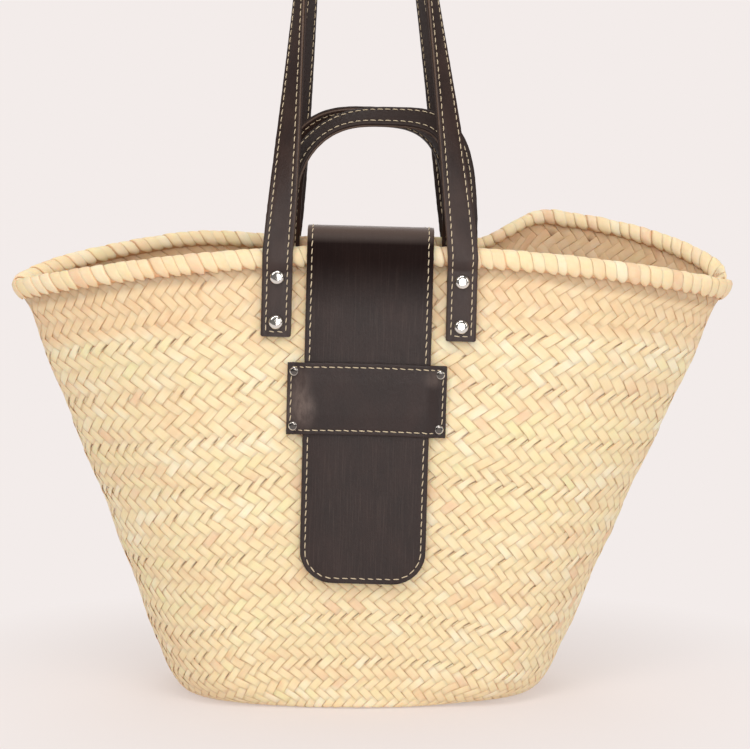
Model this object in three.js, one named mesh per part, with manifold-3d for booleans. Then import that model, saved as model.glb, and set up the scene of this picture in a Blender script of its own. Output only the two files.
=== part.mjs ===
// A plaited palm-leaf market basket with a wrapped rim, two long shoulder straps, two short
// carrying handles, and a leather flap that comes over the mouth and tucks behind a riveted keeper.
// Millimetres, +Z up, the front towards -Y, the origin at the centre of the flat base.

import * as THREE from 'three';
import { mergeVertices } from 'three/addons/utils/BufferGeometryUtils.js';
import Module from 'manifold-3d';

const wasm = await Module();
wasm.setup();

// Woven shell
const wallThickness = 4;
const floorThickness = 4.5;
const footHalfLength = 138;
const mouthHalfLength = 256;
const endHollow = 2.2;
const endBulge = 4;
const bulgePeak = 27 / 256;
const endFlare = 4.5;
const endFlareReach = 30;
const flatHalfLength = 84;
const mouthPointing = 0.35;
const baseOval = { long: 128, deep: 84.5 };
const cornerHeight = 24;
const cornerLevels = [0, 1.5, 5, 12];
const wallLevels = 5;
const rimOffset = 11;
const fittingsOffset = 9;

// Half depths of the two long sides at the foot, at the crease under the straps and at the rim
const creaseBelowStraps = 4;
const frontDepth = { foot: 85, crease: 80.5, rim: 74 };
const rearDepth = { foot: 85, crease: 74, rim: 64 };

// Height of the top of the rim, which droops to the two ends
const rimHeight = 325;
const rimDroop = 28;
const rimDroopCurve = 0.95;

// The rear rim stands a little above the front one and swells up and back beside its handles
const rearRise = 3;
const lobeFoot = 110;
const lobeFade = 0.38;
const lobes = {
  right: { rise: 27.5, swell: 17, start: 69, crest: 132, hold: 155 },
  left: { rise: 12.5, swell: 11, start: 32, crest: 152, hold: 177 },
};

// Wrapped binding of the rim
const bindingHeight = 14.6;
const bindingWidth = 10.5;
const bindingBend = 6;
const rimSeat = 0.8;
const wrapCount = 132;
const wrapGroove = 0.8;
const wrapSlant = 5;

// Leather: two layers with a thin line between them
const leather = 1.6;
const clearance = 0.3;
const strapThickness = 2 * leather + clearance;
const leatherLean = THREE.MathUtils.degToRad(1.5);

// Straps of the handles and their rivets
const strapWidth = 21;
const strapHalfSpacing = 64;
const upperRivetDrop = 24.5;
const rivetSpacing = 31;
const strapTail = 10;
const rivet = { cap: 5.3, dome: 2.9, shank: 2 };
const rivetEdge = 0.5;

// Loops of the handles: how far the top stands above the rim and how it closes in and turns
const longLoop = { rise: 296, twist: 90, turnRate: 0.9, legCurve: 1.1, driftCurve: 1.3 };
const longFront = { topHalf: 37, leanIn: 42, drift: -15, skew: 0 };
const longRear = { topHalf: 30, leanIn: 9, drift: 15, skew: 0 };
const shortLoop = { rise: 95, twist: 48, turnRate: 0.9, squareness: 3.1, driftCurve: 3 };
const shortFront = { leanIn: 33, drift: 12, skew: -0.7 };
const shortRear = { leanIn: 29, drift: 2, skew: -0.3 };
const leanStart = 0.06;
const loopSteps = 44;

// Flap over the mouth and the keeper that holds its tongue
const flapWidth = 87.5;
const flapCorner = 23;
const flapFold = 14;
const flapOverRim = 9.5;
const flapRear = { rise: 21, back: 6 };
const flapBelowRim = 30;
const flapCrown = { reach: 60, rise: -10 };
const tongueAboveKeeper = 11;
const keeperMargin = 11.55;
const keeperWidth = flapWidth + 2 * keeperMargin;
const keeperHeight = 50;
const keeperLeather = 2.4;
const keeperSlack = 0.9;
const keeperStep = 1.6;
const keeperBelowCrease = 13;
const tongueBelowKeeper = 103;
const keeperRivet = { cap: 3.3, dome: 1.9, shank: 1.4, insetAcross: 4.7, insetUp: 6 };
const flapRivetInset = 13.75;
const flapRivet = { cap: 4.5, dome: 2.2, shank: 1.8, spacing: flapWidth / 2 - flapRivetInset, drop: 40 };
const flapTailDrop = 50;

const strapEndDrop = upperRivetDrop + rivetSpacing + strapTail;
const creaseHeight = rimHeight - strapEndDrop - creaseBelowStraps;
const hingeDrop = bindingHeight / 2;
const strapOverRim = bindingWidth / 2 - wallThickness / 2 + clearance;
const holeDepth = 60;
const holeSides = 10;

const palm = new THREE.MeshStandardMaterial({ color: 0xdcc48f, roughness: 0.75, metalness: 0 });
const palmRim = new THREE.MeshStandardMaterial({ color: 0xe0c794, roughness: 0.7, metalness: 0 });
const facingLeather = new THREE.MeshStandardMaterial({ color: 0x302b2c, roughness: 0.5, metalness: 0 });
const liningLeather = new THREE.MeshStandardMaterial({ color: 0x3a3331, roughness: 0.75, metalness: 0 });
const nickel = new THREE.MeshStandardMaterial({ color: 0xc9c6c2, roughness: 0.22, metalness: 1 });

const lerp = THREE.MathUtils.lerp;
const smooth = (x, from, to) => THREE.MathUtils.smoothstep(x, from, to);

// The centre line of the basket moves sideways with height
function centreX(z) {
  return rimOffset * z / rimHeight;
}

// Half depth of the flat middle of a long side at a height, before the rounded foot
function middleDepth(depth, z) {
  if (z < creaseHeight) return lerp(depth.foot, depth.crease, z / creaseHeight);
  const up = (z - creaseHeight) / (rimHeight - creaseHeight);
  return depth.crease + (depth.rim - depth.crease) * up;
}

function halfLength(z) {
  const tip = rimHeight - rimDroop;
  const up = z / tip;
  const hollow = 4 * endHollow * up * (1 - up);
  const bulge = endBulge * up ** 3 * (1 - up) / bulgePeak;
  const flare = endFlare * smooth(z, tip - endFlareReach, tip);
  return lerp(footHalfLength, mouthHalfLength, up) - hollow + bulge + flare;
}

// One of the rear lobes at a distance from the middle, from 0 to 1
function lobeShape(lobe, distance, start) {
  const fade = THREE.MathUtils.clamp((distance - lobe.hold) / (mouthHalfLength - lobe.hold), 0, 1);
  return smooth(distance, start, lobe.crest) * (1 - fade * fade) ** lobeFade;
}

// Height of the top of the rim over a point at a distance along x from the centre line
function rimTop(x, rear) {
  const share = Math.min(1, Math.abs(x) / mouthHalfLength);
  let z = rimHeight - rimDroop + rimDroop * (1 - share * share) ** rimDroopCurve;
  if (rear) {
    const lobe = x > 0 ? lobes.right : lobes.left;
    z += lobe.rise * lobeShape(lobe, Math.abs(x), lobe.start);
    z += rearRise * (1 - smooth(Math.abs(x), flatHalfLength, mouthHalfLength));
  }
  return z;
}

// Points round the basket, each with its place on the flat middle or on the rounded end
const columns = [];
const middleSteps = 6;
const endSteps = 12;
for (const quarter of [0, 1, 2, 3]) {
  const rear = quarter < 2;
  const right = quarter === 0 || quarter === 3;
  const outwards = quarter === 1 || quarter === 3;
  const marks = [];
  for (let i = 0; i < middleSteps / 2; i++) marks.push({ middle: i / (middleSteps / 2), turn: 0 });
  for (let i = 0; i < endSteps; i++) marks.push({ middle: 1, turn: i / endSteps * Math.PI / 2 });
  if (outwards) {
    for (const mark of marks) columns.push({ ...mark, rear, right });
  } else {
    const tip = { middle: 1, turn: Math.PI / 2 };
    for (const mark of [tip, ...marks.slice(1).reverse()]) columns.push({ ...mark, rear, right });
  }
}

// A point of the shell, drawn in from its outer face by inset, at a height
function shellPoint(column, z, inset, cornerFloor) {
  const side = column.right ? 1 : -1;
  const depth = column.rear ? rearDepth : frontDepth;
  const cornerSpan = cornerHeight - cornerFloor;
  const below = THREE.MathUtils.clamp(1 - (z - cornerFloor) / cornerSpan, 0, 1);
  const drawnIn = 1 - Math.sqrt(1 - below * below);
  const half = halfLength(z) - inset;
  const deep = middleDepth(depth, z) - inset;
  const pointing = mouthPointing * smooth(z, 0, rimHeight - rimDroop);
  const cos = Math.cos(column.turn);
  const full = column.middle * flatHalfLength + (half - flatHalfLength) * Math.sin(column.turn);
  const share = full / half;
  const x = lerp(full, (baseOval.long - inset) * share, drawnIn);
  const ovalY = (baseOval.deep - inset) * Math.sqrt(Math.max(0, 1 - share * share));
  let y = lerp(deep * ((1 - pointing) * cos + pointing * cos ** 3), ovalY, drawnIn);
  if (column.rear) {
    const lobe = column.right ? lobes.right : lobes.left;
    const up = THREE.MathUtils.clamp((z - lobeFoot) / (rimHeight - lobeFoot), 0, 1.2);
    y += lobe.swell * lobeShape(lobe, x, flatHalfLength) * up * up * cos;
  }
  return new THREE.Vector3(centreX(z) + side * x, column.rear ? y : -y, z);
}

// The top edge of the wall under the binding, on one column
function wallTop(column) {
  let z = creaseHeight;
  for (let i = 0; i < 4; i++) {
    const p = shellPoint(column, z, 0, 0);
    z = rimTop(p.x - centreX(z), column.rear) - bindingHeight - rimSeat;
  }
  return z;
}

function closedBody(points, faces) {
  const geometry = new THREE.BufferGeometry();
  geometry.setAttribute('position', new THREE.Float32BufferAttribute(points.flatMap((p) => p.toArray()), 3));
  geometry.setIndex(faces.flat());
  return geometry;
}

// Two triangles of a quad given counter-clockwise from outside
function quad(a, b, c, d) {
  return [a, b, c, a, c, d];
}

function shellGeometry() {
  const count = columns.length;
  const cornerShares = cornerLevels.map((z) => z / cornerHeight);
  const outerLevels = [...cornerShares, 1].map((v) => lerp(0, cornerHeight, v));
  const innerLevels = [...cornerShares, 1].map((v) => lerp(floorThickness, cornerHeight, v));
  const sideLevels = [];
  for (let i = 1; i <= wallLevels; i++) sideLevels.push(lerp(cornerHeight, creaseHeight, i / wallLevels));
  const points = [];
  const rows = [];
  const addRow = (heightOf, inset, cornerFloor) => {
    rows.push(points.length);
    for (const column of columns) {
      points.push(shellPoint(column, heightOf(column), inset, cornerFloor));
    }
  };
  for (const z of [...outerLevels, ...sideLevels]) addRow(() => z, 0, 0);
  for (const share of [0.5, 1]) addRow((c) => lerp(creaseHeight, wallTop(c), share), 0, 0);
  for (const share of [1, 0.5]) {
    addRow((c) => lerp(creaseHeight, wallTop(c), share), wallThickness, floorThickness);
  }
  for (const z of [...innerLevels, ...sideLevels].reverse()) {
    addRow(() => z, wallThickness, floorThickness);
  }
  const faces = [];
  for (let r = 0; r + 1 < rows.length; r++) {
    for (let i = 0; i < count; i++) {
      const j = (i + 1) % count;
      faces.push(quad(rows[r] + i, rows[r] + j, rows[r + 1] + j, rows[r + 1] + i));
    }
  }
  const bottom = points.push(new THREE.Vector3(0, 0, 0)) - 1;
  const inside = points.push(new THREE.Vector3(centreX(floorThickness), 0, floorThickness)) - 1;
  const last = rows[rows.length - 1];
  for (let i = 0; i < count; i++) {
    const j = (i + 1) % count;
    faces.push([bottom, rows[0] + j, rows[0] + i]);
    faces.push([inside, last + i, last + j]);
  }
  return closedBody(points, faces);
}

// The middle of the wall at one column and height
function wallMiddle(column, z) {
  const outer = shellPoint(column, z, 0, 0);
  return outer.lerp(shellPoint(column, z, wallThickness, floorThickness), 0.5);
}

// The line under the middle of the binding, with the way the wall leans there, by share of its length
function rimLine() {
  const places = columns.map((column) => {
    const z = wallTop(column);
    const seat = wallMiddle(column, z);
    const lean = seat.clone().sub(wallMiddle(column, z - bindingHeight)).divideScalar(bindingHeight);
    return { seat, lean };
  });
  places.push(places[0]);
  const reached = [0];
  for (let i = 1; i < places.length; i++) {
    reached.push(reached[i - 1] + places[i].seat.distanceTo(places[i - 1].seat));
  }
  const length = reached[reached.length - 1];
  const at = (share) => {
    const along = (share - Math.floor(share)) * length;
    const i = Math.min(places.length - 2, reached.findLastIndex((v) => v <= along));
    const part = (along - reached[i]) / (reached[i + 1] - reached[i]);
    return {
      seat: places[i].seat.clone().lerp(places[i + 1].seat, part),
      lean: places[i].lean.clone().lerp(places[i + 1].lean, part),
    };
  };
  return { at, length };
}

// The binding's section: a flat underside on the wall, full sides and a round top
const bindingSection = [
  [0.22, 0], [0.47, 0.24], [0.5, 0.55], [0.27, 1], [-0.27, 1], [-0.5, 0.55], [-0.47, 0.24], [-0.22, 0],
];

function bindingGeometry() {
  const line = rimLine();
  const rings = wrapCount * 2;
  const step = bindingWidth / 2 / line.length;
  const sides = bindingSection.length;
  const points = [];
  const up = new THREE.Vector3(0, 0, 1);
  for (let r = 0; r < rings; r++) {
    const groove = r % 2 ? 0 : wrapGroove;
    for (const [across, high] of bindingSection) {
      const share = r / rings + (high - 0.5) * wrapSlant / line.length;
      const { seat, lean } = line.at(share);
      const tangent = line.at(share + step).seat.sub(line.at(share - step).seat).setZ(0).normalize();
      const outwards = new THREE.Vector3().crossVectors(tangent, up);
      const shrink = high > 0 ? groove : 0;
      const width = across * (bindingWidth - 2 * shrink);
      seat.addScaledVector(outwards, width);
      seat.addScaledVector(lean, rimSeat + high * (bindingHeight - shrink));
      points.push(seat);
    }
  }
  const faces = [];
  for (let r = 0; r < rings; r++) {
    const next = (r + 1) % rings;
    for (let k = 0; k < sides; k++) {
      const l = (k + 1) % sides;
      faces.push(quad(r * sides + k, next * sides + k, next * sides + l, r * sides + l));
    }
  }
  return closedBody(points, faces);
}

// A frame on a flat part of a long side: x along it, y up it, z out of it, at the rim's middle
function wallFrame(name, rear, lowPoint, highPoint) {
  const side = rear ? -1 : 1;
  const up = new THREE.Vector3().subVectors(highPoint, lowPoint).setX(0).normalize();
  const along = new THREE.Vector3(side, 0, 0);
  const out = new THREE.Vector3().crossVectors(along, up);
  const lean = side * leatherLean;
  const leanUp = up.clone().multiplyScalar(Math.cos(lean)).addScaledVector(along, Math.sin(lean));
  const leanAlong = new THREE.Vector3().crossVectors(leanUp, out);
  const frame = new THREE.Group();
  frame.name = name;
  frame.position.copy(highPoint);
  frame.quaternion.setFromRotationMatrix(new THREE.Matrix4().makeBasis(leanAlong, leanUp, out));
  frame.updateMatrixWorld(true);
  return frame;
}

function middlePoint(rear, z) {
  const depth = middleDepth(rear ? rearDepth : frontDepth, z);
  return new THREE.Vector3(fittingsOffset, rear ? depth : -depth, z);
}

// How far the rim's top lies above a frame's x axis, at the lower edge of a band across the wall
function rimAbove(frame, along, width, rear) {
  return Math.min(...[-1, 1].map((side) => {
    const p = new THREE.Vector3(along + side * width / 2, 0, 0).applyMatrix4(frame.matrixWorld);
    return rimTop(p.x - centreX(rimHeight), rear) - p.z;
  }));
}

// The part of the front below the crease, drawn on up to the height of the rim
function lowerFrontTop() {
  const low = middlePoint(false, 0);
  const crease = middlePoint(false, creaseHeight);
  return low.lerp(crease, rimHeight / creaseHeight);
}

const frontCrease = middlePoint(false, creaseHeight);
const rearCrease = middlePoint(true, creaseHeight);
const frontUpper = wallFrame('front_upper', false, frontCrease, middlePoint(false, rimTop(0, false)));
const rearUpper = wallFrame('rear_upper', true, rearCrease, middlePoint(true, rimTop(0, true)));
const frontLower = wallFrame('front_lower', false, middlePoint(false, 0), lowerFrontTop());

function toSolid(geometry) {
  const bare = new THREE.BufferGeometry();
  bare.setAttribute('position', geometry.getAttribute('position').clone());
  if (geometry.index) bare.setIndex(geometry.index.clone());
  const merged = mergeVertices(bare, 1e-4);
  return new wasm.Manifold(new wasm.Mesh({
    numProp: 3,
    vertProperties: new Float32Array(merged.getAttribute('position').array),
    triVerts: new Uint32Array(merged.index.array),
  }));
}

function fromSolid(solid) {
  const mesh = solid.getMesh();
  const geometry = new THREE.BufferGeometry();
  geometry.setAttribute('position', new THREE.BufferAttribute(new Float32Array(mesh.vertProperties), 3));
  geometry.setIndex(new THREE.BufferAttribute(new Uint32Array(mesh.triVerts), 1));
  return geometry;
}

// Cuts round holes along z, each given by its place, radius and any frame, out of a geometry
function drill(geometry, holes) {
  let solid = toSolid(geometry);
  for (const hole of holes) {
    const cutter = new THREE.CylinderGeometry(hole.radius, hole.radius, holeDepth, holeSides);
    cutter.rotateX(Math.PI / 2);
    cutter.translate(hole.x, hole.y, 0);
    if (hole.frame) cutter.applyMatrix4(hole.frame.matrixWorld);
    solid = solid.subtract(toSolid(cutter));
  }
  return fromSolid(solid);
}

// A strip drawn in side view: profile points are [out, up], and it runs across the wall
function stripFromSide(profile, width, middle) {
  const shape = new THREE.Shape(profile.map(([out, up]) => new THREE.Vector2(out, up)));
  const geometry = new THREE.ExtrudeGeometry(shape, { depth: width, bevelEnabled: false });
  geometry.translate(0, 0, -width / 2);
  const turn = new THREE.Matrix4().makeBasis(
    new THREE.Vector3(0, 0, 1), new THREE.Vector3(0, 1, 0), new THREE.Vector3(-1, 0, 0),
  );
  geometry.applyMatrix4(turn);
  geometry.translate(middle, 0, 0);
  return geometry;
}

// Moves a line of [out, up] points sideways by a distance, square to the line
function offsetLine(line, distance) {
  return line.map((p, i) => {
    const before = line[Math.max(0, i - 1)];
    const after = line[Math.min(line.length - 1, i + 1)];
    const along = new THREE.Vector2(after[0] - before[0], after[1] - before[1]).normalize();
    return [p[0] + along.y * distance, p[1] - along.x * distance];
  });
}

// One layer between two distances from a line
function layerOf(line, from, to) {
  return [...offsetLine(line, from), ...offsetLine(line, to).reverse()];
}

// One layer of a riveted end, which is measured straight out from the wall
function endLayer(line, from, to) {
  const moved = (distance) => line.map(([out, up]) => [out + distance, up]);
  return [...moved(from), ...moved(to).reverse()];
}

// The riveted end of a strap in side view: flat on the wall, then out over half the binding.
// The rim lies rimShift above the frame's own level there
function endLine(endDrop, rimShift) {
  const line = [[clearance, -endDrop]];
  const steps = 6;
  const bendFoot = -bindingHeight + rimShift - bindingBend / 4;
  for (let i = 0; i <= steps; i++) {
    const up = bendFoot + bindingBend * i / steps;
    line.push([lerp(clearance, strapOverRim, smooth(up, bendFoot, bendFoot + bindingBend)), up]);
  }
  line.push([strapOverRim, -hingeDrop - clearance / 2]);
  return line;
}

const layers = [
  { name: 'lining', from: 0, to: leather, material: liningLeather },
  { name: 'facing', from: leather + clearance, to: strapThickness, material: facingLeather },
];

const group = new THREE.Group();
group.add(frontUpper, rearUpper, frontLower);

function addMesh(parent, name, geometry, material) {
  const mesh = new THREE.Mesh(geometry, material);
  mesh.name = name;
  parent.add(mesh);
  return mesh;
}

const wallHoles = [];

// A rivet along z, from the face of what it holds on one side to the other
function addRivet(frame, name, size, x, y, outer, inner) {
  const arc = 2;
  const domeRise = size.dome - rivetEdge;
  const profile = [new THREE.Vector2(0, inner - size.dome)];
  for (let i = 1; i <= arc; i++) {
    const a = i / arc * Math.PI / 2;
    profile.push(new THREE.Vector2(size.cap * Math.sin(a), inner - rivetEdge - domeRise * Math.cos(a)));
  }
  profile.push(new THREE.Vector2(size.cap, inner));
  profile.push(new THREE.Vector2(size.shank, inner));
  profile.push(new THREE.Vector2(size.shank, outer));
  profile.push(new THREE.Vector2(size.cap, outer));
  for (let i = arc; i >= 1; i--) {
    const a = i / arc * Math.PI / 2;
    profile.push(new THREE.Vector2(size.cap * Math.sin(a), outer + rivetEdge + domeRise * Math.cos(a)));
  }
  profile.push(new THREE.Vector2(0, outer + size.dome));
  const geometry = new THREE.LatheGeometry(profile, holeSides);
  geometry.rotateX(Math.PI / 2);
  geometry.translate(x, y, 0);
  addMesh(frame, name, geometry, nickel);
  wallHoles.push({ x, y, radius: size.shank + clearance, frame });
}

// A flat band of leather that follows a run of stations, each with a place, a width direction
// and an outward direction
function ribbon(stations, width, from, to) {
  const points = [];
  const faces = [];
  for (const { place, across, out } of stations) {
    for (const [side, lift] of [[-1, from], [1, from], [1, to], [-1, to]]) {
      points.push(place.clone().addScaledVector(across, side * width / 2).addScaledVector(out, lift));
    }
  }
  for (let i = 0; i + 1 < stations.length; i++) {
    for (let k = 0; k < 4; k++) {
      const l = (k + 1) % 4;
      const corners = [i * 4 + k, i * 4 + l, i * 4 + 4 + l, i * 4 + 4 + k];
      if (k === 2) corners.push(corners.shift());
      faces.push(quad(...corners));
    }
  }
  const end = (stations.length - 1) * 4;
  faces.push(quad(3, 2, 1, 0), quad(end, end + 1, end + 2, end + 3));
  return closedBody(points, faces);
}

// The middle line of a long loop: legs that close in to a round top
function longLoopPoint(t, loop) {
  const side = t < 0.5 ? -1 : 1;
  const rise = longLoop.rise + hingeDrop;
  const legs = rise - loop.topHalf;
  const arc = Math.PI / 2 * loop.topHalf;
  const along = Math.abs(t - 0.5) * 2 * (legs + arc);
  if (along < arc) {
    const a = along / loop.topHalf;
    return new THREE.Vector2(side * loop.topHalf * Math.sin(a), legs + loop.topHalf * Math.cos(a));
  }
  const down = Math.min(1, (along - arc) / legs);
  const spread = (strapHalfSpacing - loop.topHalf) * down ** longLoop.legCurve;
  return new THREE.Vector2(side * (loop.topHalf + spread), legs * (1 - down));
}

// The middle line of a short loop: a squarish arch
function shortLoopPoint(t) {
  const a = Math.PI * (1 - t);
  const power = 2 / shortLoop.squareness;
  const bow = (v) => Math.sign(v) * Math.abs(v) ** power;
  const rise = shortLoop.rise + hingeDrop;
  return new THREE.Vector2(strapHalfSpacing * bow(Math.cos(a)), rise * bow(Math.sin(a)));
}

// Stations round a loop, whose face turns from the wall's outward side to the arch's outside
function loopStations(pointAt, shape, loop, facingOut, startOut, twist) {
  const total = shape.rise + hingeDrop;
  const path = [];
  for (let i = 0; i <= loopSteps; i++) {
    const p = pointAt(i / loopSteps);
    const up = Math.max(0, p.y / total);
    const leant = loop.leanIn * up * up * (1 + leanStart) / (up + leanStart);
    const x = p.x + loop.drift * up ** shape.driftCurve;
    path.push(new THREE.Vector3(x, p.y - hingeDrop + clearance, startOut - leant));
  }
  return path.map((place, i) => {
    const before = path[Math.max(0, i - 1)];
    const after = path[Math.min(path.length - 1, i + 1)];
    const tangent = after.clone().sub(before).normalize();
    if (i === 0) tangent.set(0, 1, 0);
    if (i === path.length - 1) tangent.set(0, -1, 0);
    const face = new THREE.Vector3(0, 0, facingOut);
    const flat = face.clone().addScaledVector(tangent, -face.dot(tangent)).normalize();
    const round = new THREE.Vector3().crossVectors(tangent, new THREE.Vector3(0, 0, 1)).negate();
    round.addScaledVector(tangent, -round.dot(tangent)).normalize();
    const up = Math.max(0, (place.y + hingeDrop - clearance) / total);
    const turned = twist * up * (1 + shape.turnRate) / (up + shape.turnRate);
    const angle = THREE.MathUtils.degToRad(turned * (1 + loop.skew * (2 * i / loopSteps - 1)));
    const out = flat.multiplyScalar(Math.cos(angle)).addScaledVector(round, Math.sin(angle)).normalize();
    const across = new THREE.Vector3().crossVectors(out, tangent).normalize();
    return { place, across, out };
  });
}

// The two ends of a handle as seen from the front, with their places along a frame's x axis
function endsOf(frame) {
  const side = frame === rearUpper ? -1 : 1;
  return [['left', -side * strapHalfSpacing], ['right', side * strapHalfSpacing]];
}

// One handle: two riveted ends and the loop between them, each in two layers
function addHandle(frame, name, inside, stationsOf) {
  const mirror = ([out, up]) => (inside ? [-wallThickness - out, up] : [out, up]);
  const stations = stationsOf(inside ? -1 : 1, mirror([strapOverRim, 0])[0]);
  for (const layer of layers) {
    for (const [end, along] of endsOf(frame)) {
      const line = endLine(strapEndDrop, rimAbove(frame, along, strapWidth, frame === rearUpper));
      const strip = stripFromSide(endLayer(line, layer.from, layer.to).map(mirror), strapWidth, along);
      const holes = [0, 1].map((k) => ({
        x: along, y: -upperRivetDrop - k * rivetSpacing, radius: rivet.shank + clearance,
      }));
      addMesh(frame, `${name}_${end}_end_${layer.name}`, drill(strip, holes), layer.material);
    }
    const loop = ribbon(stations, strapWidth, layer.from, layer.to);
    addMesh(frame, `${name}_loop_${layer.name}`, loop, layer.material);
  }
}

function longStations(loop) {
  return (facingOut, startOut) => loopStations(
    (t) => longLoopPoint(t, loop), longLoop, loop, facingOut, startOut, longLoop.twist,
  );
}

function shortStations(loop) {
  return (facingOut, startOut) => loopStations(
    shortLoopPoint, shortLoop, loop, facingOut, startOut, shortLoop.twist * facingOut,
  );
}

addHandle(frontUpper, 'front_long_handle', false, longStations(longFront));
addHandle(rearUpper, 'rear_long_handle', false, longStations(longRear));
addHandle(frontUpper, 'front_short_handle', true, shortStations(shortFront));
addHandle(rearUpper, 'rear_short_handle', true, shortStations(shortRear));

const strapOuter = clearance + strapThickness + clearance;
const strapInner = -wallThickness - strapOuter;
for (const [side, frame] of [['front', frontUpper], ['rear', rearUpper]]) {
  for (const [end, along] of endsOf(frame)) {
    for (const [place, drop] of [['upper', upperRivetDrop], ['lower', upperRivetDrop + rivetSpacing]]) {
      addRivet(frame, `${side}_${end}_${place}_rivet`, rivet, along, -drop, strapOuter, strapInner);
    }
  }
}

// Keeper: a hat-shaped band over the tongue, riveted down at its four corners
const keeperTop = creaseHeight - rimHeight - keeperBelowCrease;
const keeperMiddle = keeperTop - keeperHeight / 2;
function keeperGeometry() {
  const half = keeperWidth / 2;
  const top = flapWidth / 2 + keeperSlack;
  const foot = top + keeperStep;
  const raised = clearance + strapThickness + clearance;
  const right = [[top, raised], [foot, clearance], [half, clearance]];
  const rightOuter = [
    [half, clearance + keeperLeather], [foot + keeperLeather / 2, clearance + keeperLeather],
    [top + keeperLeather / 2, raised + keeperLeather],
  ];
  const mirrored = (list) => list.map(([x, z]) => [-x, z]).reverse();
  const outline = [...right, ...rightOuter, ...mirrored(rightOuter), ...mirrored(right)];
  const shape = new THREE.Shape(outline.map(([x, z]) => new THREE.Vector2(x, z)));
  const geometry = new THREE.ExtrudeGeometry(shape, { depth: keeperHeight, bevelEnabled: false });
  const turn = new THREE.Matrix4().makeBasis(
    new THREE.Vector3(1, 0, 0), new THREE.Vector3(0, 0, 1), new THREE.Vector3(0, -1, 0),
  );
  geometry.applyMatrix4(turn);
  geometry.translate(0, keeperTop, 0);
  return geometry;
}

const keeperHoles = [];
for (const [row, up] of [['upper', 1], ['lower', -1]]) {
  for (const [end, side] of [['left', -1], ['right', 1]]) {
    const x = side * (keeperWidth / 2 - keeperRivet.insetAcross);
    const y = keeperMiddle + up * (keeperHeight / 2 - keeperRivet.insetUp);
    keeperHoles.push({ x, y, radius: keeperRivet.shank + clearance });
    const outer = clearance + keeperLeather + clearance;
    addRivet(frontLower, `keeper_${row}_${end}_rivet`, keeperRivet, x, y, outer, -wallThickness - clearance);
  }
}
addMesh(frontLower, 'keeper', drill(keeperGeometry(), keeperHoles), facingLeather);

// Tongue: the straight part of the flap that slides up out of the keeper
const tongueTop = keeperTop + tongueAboveKeeper;
const tongueTip = keeperMiddle - keeperHeight / 2 - tongueBelowKeeper;
function tongueGeometry(from, to) {
  const half = flapWidth / 2;
  const shape = new THREE.Shape();
  shape.moveTo(-half, tongueTop);
  shape.lineTo(-half, tongueTip + flapCorner);
  shape.absarc(-half + flapCorner, tongueTip + flapCorner, flapCorner, Math.PI, Math.PI * 1.5);
  shape.lineTo(half - flapCorner, tongueTip);
  shape.absarc(half - flapCorner, tongueTip + flapCorner, flapCorner, Math.PI * 1.5, Math.PI * 2);
  shape.lineTo(half, tongueTop);
  const settings = { depth: to - from, bevelEnabled: false, curveSegments: 8 };
  const geometry = new THREE.ExtrudeGeometry(shape, settings);
  geometry.translate(0, 0, clearance + from);
  return geometry;
}
for (const layer of layers) {
  addMesh(frontLower, `flap_tongue_${layer.name}`, tongueGeometry(layer.from, layer.to), layer.material);
}

// Rear end of the flap, riveted to the outside of the rear wall
const tailLine = endLine(flapTailDrop, rimAbove(rearUpper, 0, flapWidth, true));
const tailHoles = [-1, 0, 1].map((k) => ({
  x: k * flapRivet.spacing, y: -flapRivet.drop, radius: flapRivet.shank + clearance,
}));
for (const layer of layers) {
  const strip = stripFromSide(endLayer(tailLine, layer.from, layer.to), flapWidth, 0);
  addMesh(rearUpper, `flap_tail_${layer.name}`, drill(strip, tailHoles), layer.material);
}
for (const [k, place] of ['right', 'middle', 'left'].entries()) {
  const { x, y } = tailHoles[k];
  addRivet(rearUpper, `flap_tail_${place}_rivet`, flapRivet, x, y, strapOuter, -wallThickness - clearance);
}

// The bend of the flap over the mouth, in side view on the front's lower plane
function bowLine() {
  const toFront = frontLower.matrixWorld.clone().invert().multiply(rearUpper.matrixWorld);
  const [tailOut] = tailLine[tailLine.length - 1];
  const end = new THREE.Vector3(0, -hingeDrop + clearance / 2, tailOut).applyMatrix4(toFront);
  const aboveOut = tailOut + flapRear.back;
  const above = new THREE.Vector3(0, -hingeDrop + flapRear.rise, aboveOut).applyMatrix4(toFront);
  const line = [[clearance, tongueTop + clearance], [clearance, -flapBelowRim]];
  const foldUp = flapOverRim - flapFold;
  const foldSteps = 6;
  const bowSteps = 14;
  for (let i = 0; i <= foldSteps; i++) {
    const a = i / foldSteps * Math.PI / 2;
    line.push([clearance - flapFold * (1 - Math.cos(a)), foldUp + flapFold * Math.sin(a)]);
  }
  const over = new THREE.CubicBezierCurve(
    new THREE.Vector2(clearance - flapFold, flapOverRim),
    new THREE.Vector2(clearance - flapFold - flapCrown.reach, flapOverRim + flapCrown.rise),
    new THREE.Vector2(above.z, above.y),
    new THREE.Vector2(end.z, end.y),
  );
  for (const p of over.getPoints(bowSteps).slice(1)) line.push([p.x, p.y]);
  return line;
}
for (const layer of layers) {
  const strip = stripFromSide(layerOf(bowLine(), layer.from, layer.to), flapWidth, 0);
  addMesh(frontLower, `flap_bow_${layer.name}`, strip, layer.material);
}

addMesh(group, 'basket_body', drill(shellGeometry(), wallHoles), palm);
addMesh(group, 'rim_binding', bindingGeometry(), palmRim);

export default group;
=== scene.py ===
# A plaited palm-leaf market basket with leather handles and a leather flap, dressed over its frame.
# Lengths are millimetres until a mesh is made, which turns them to metres.

import math

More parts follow.
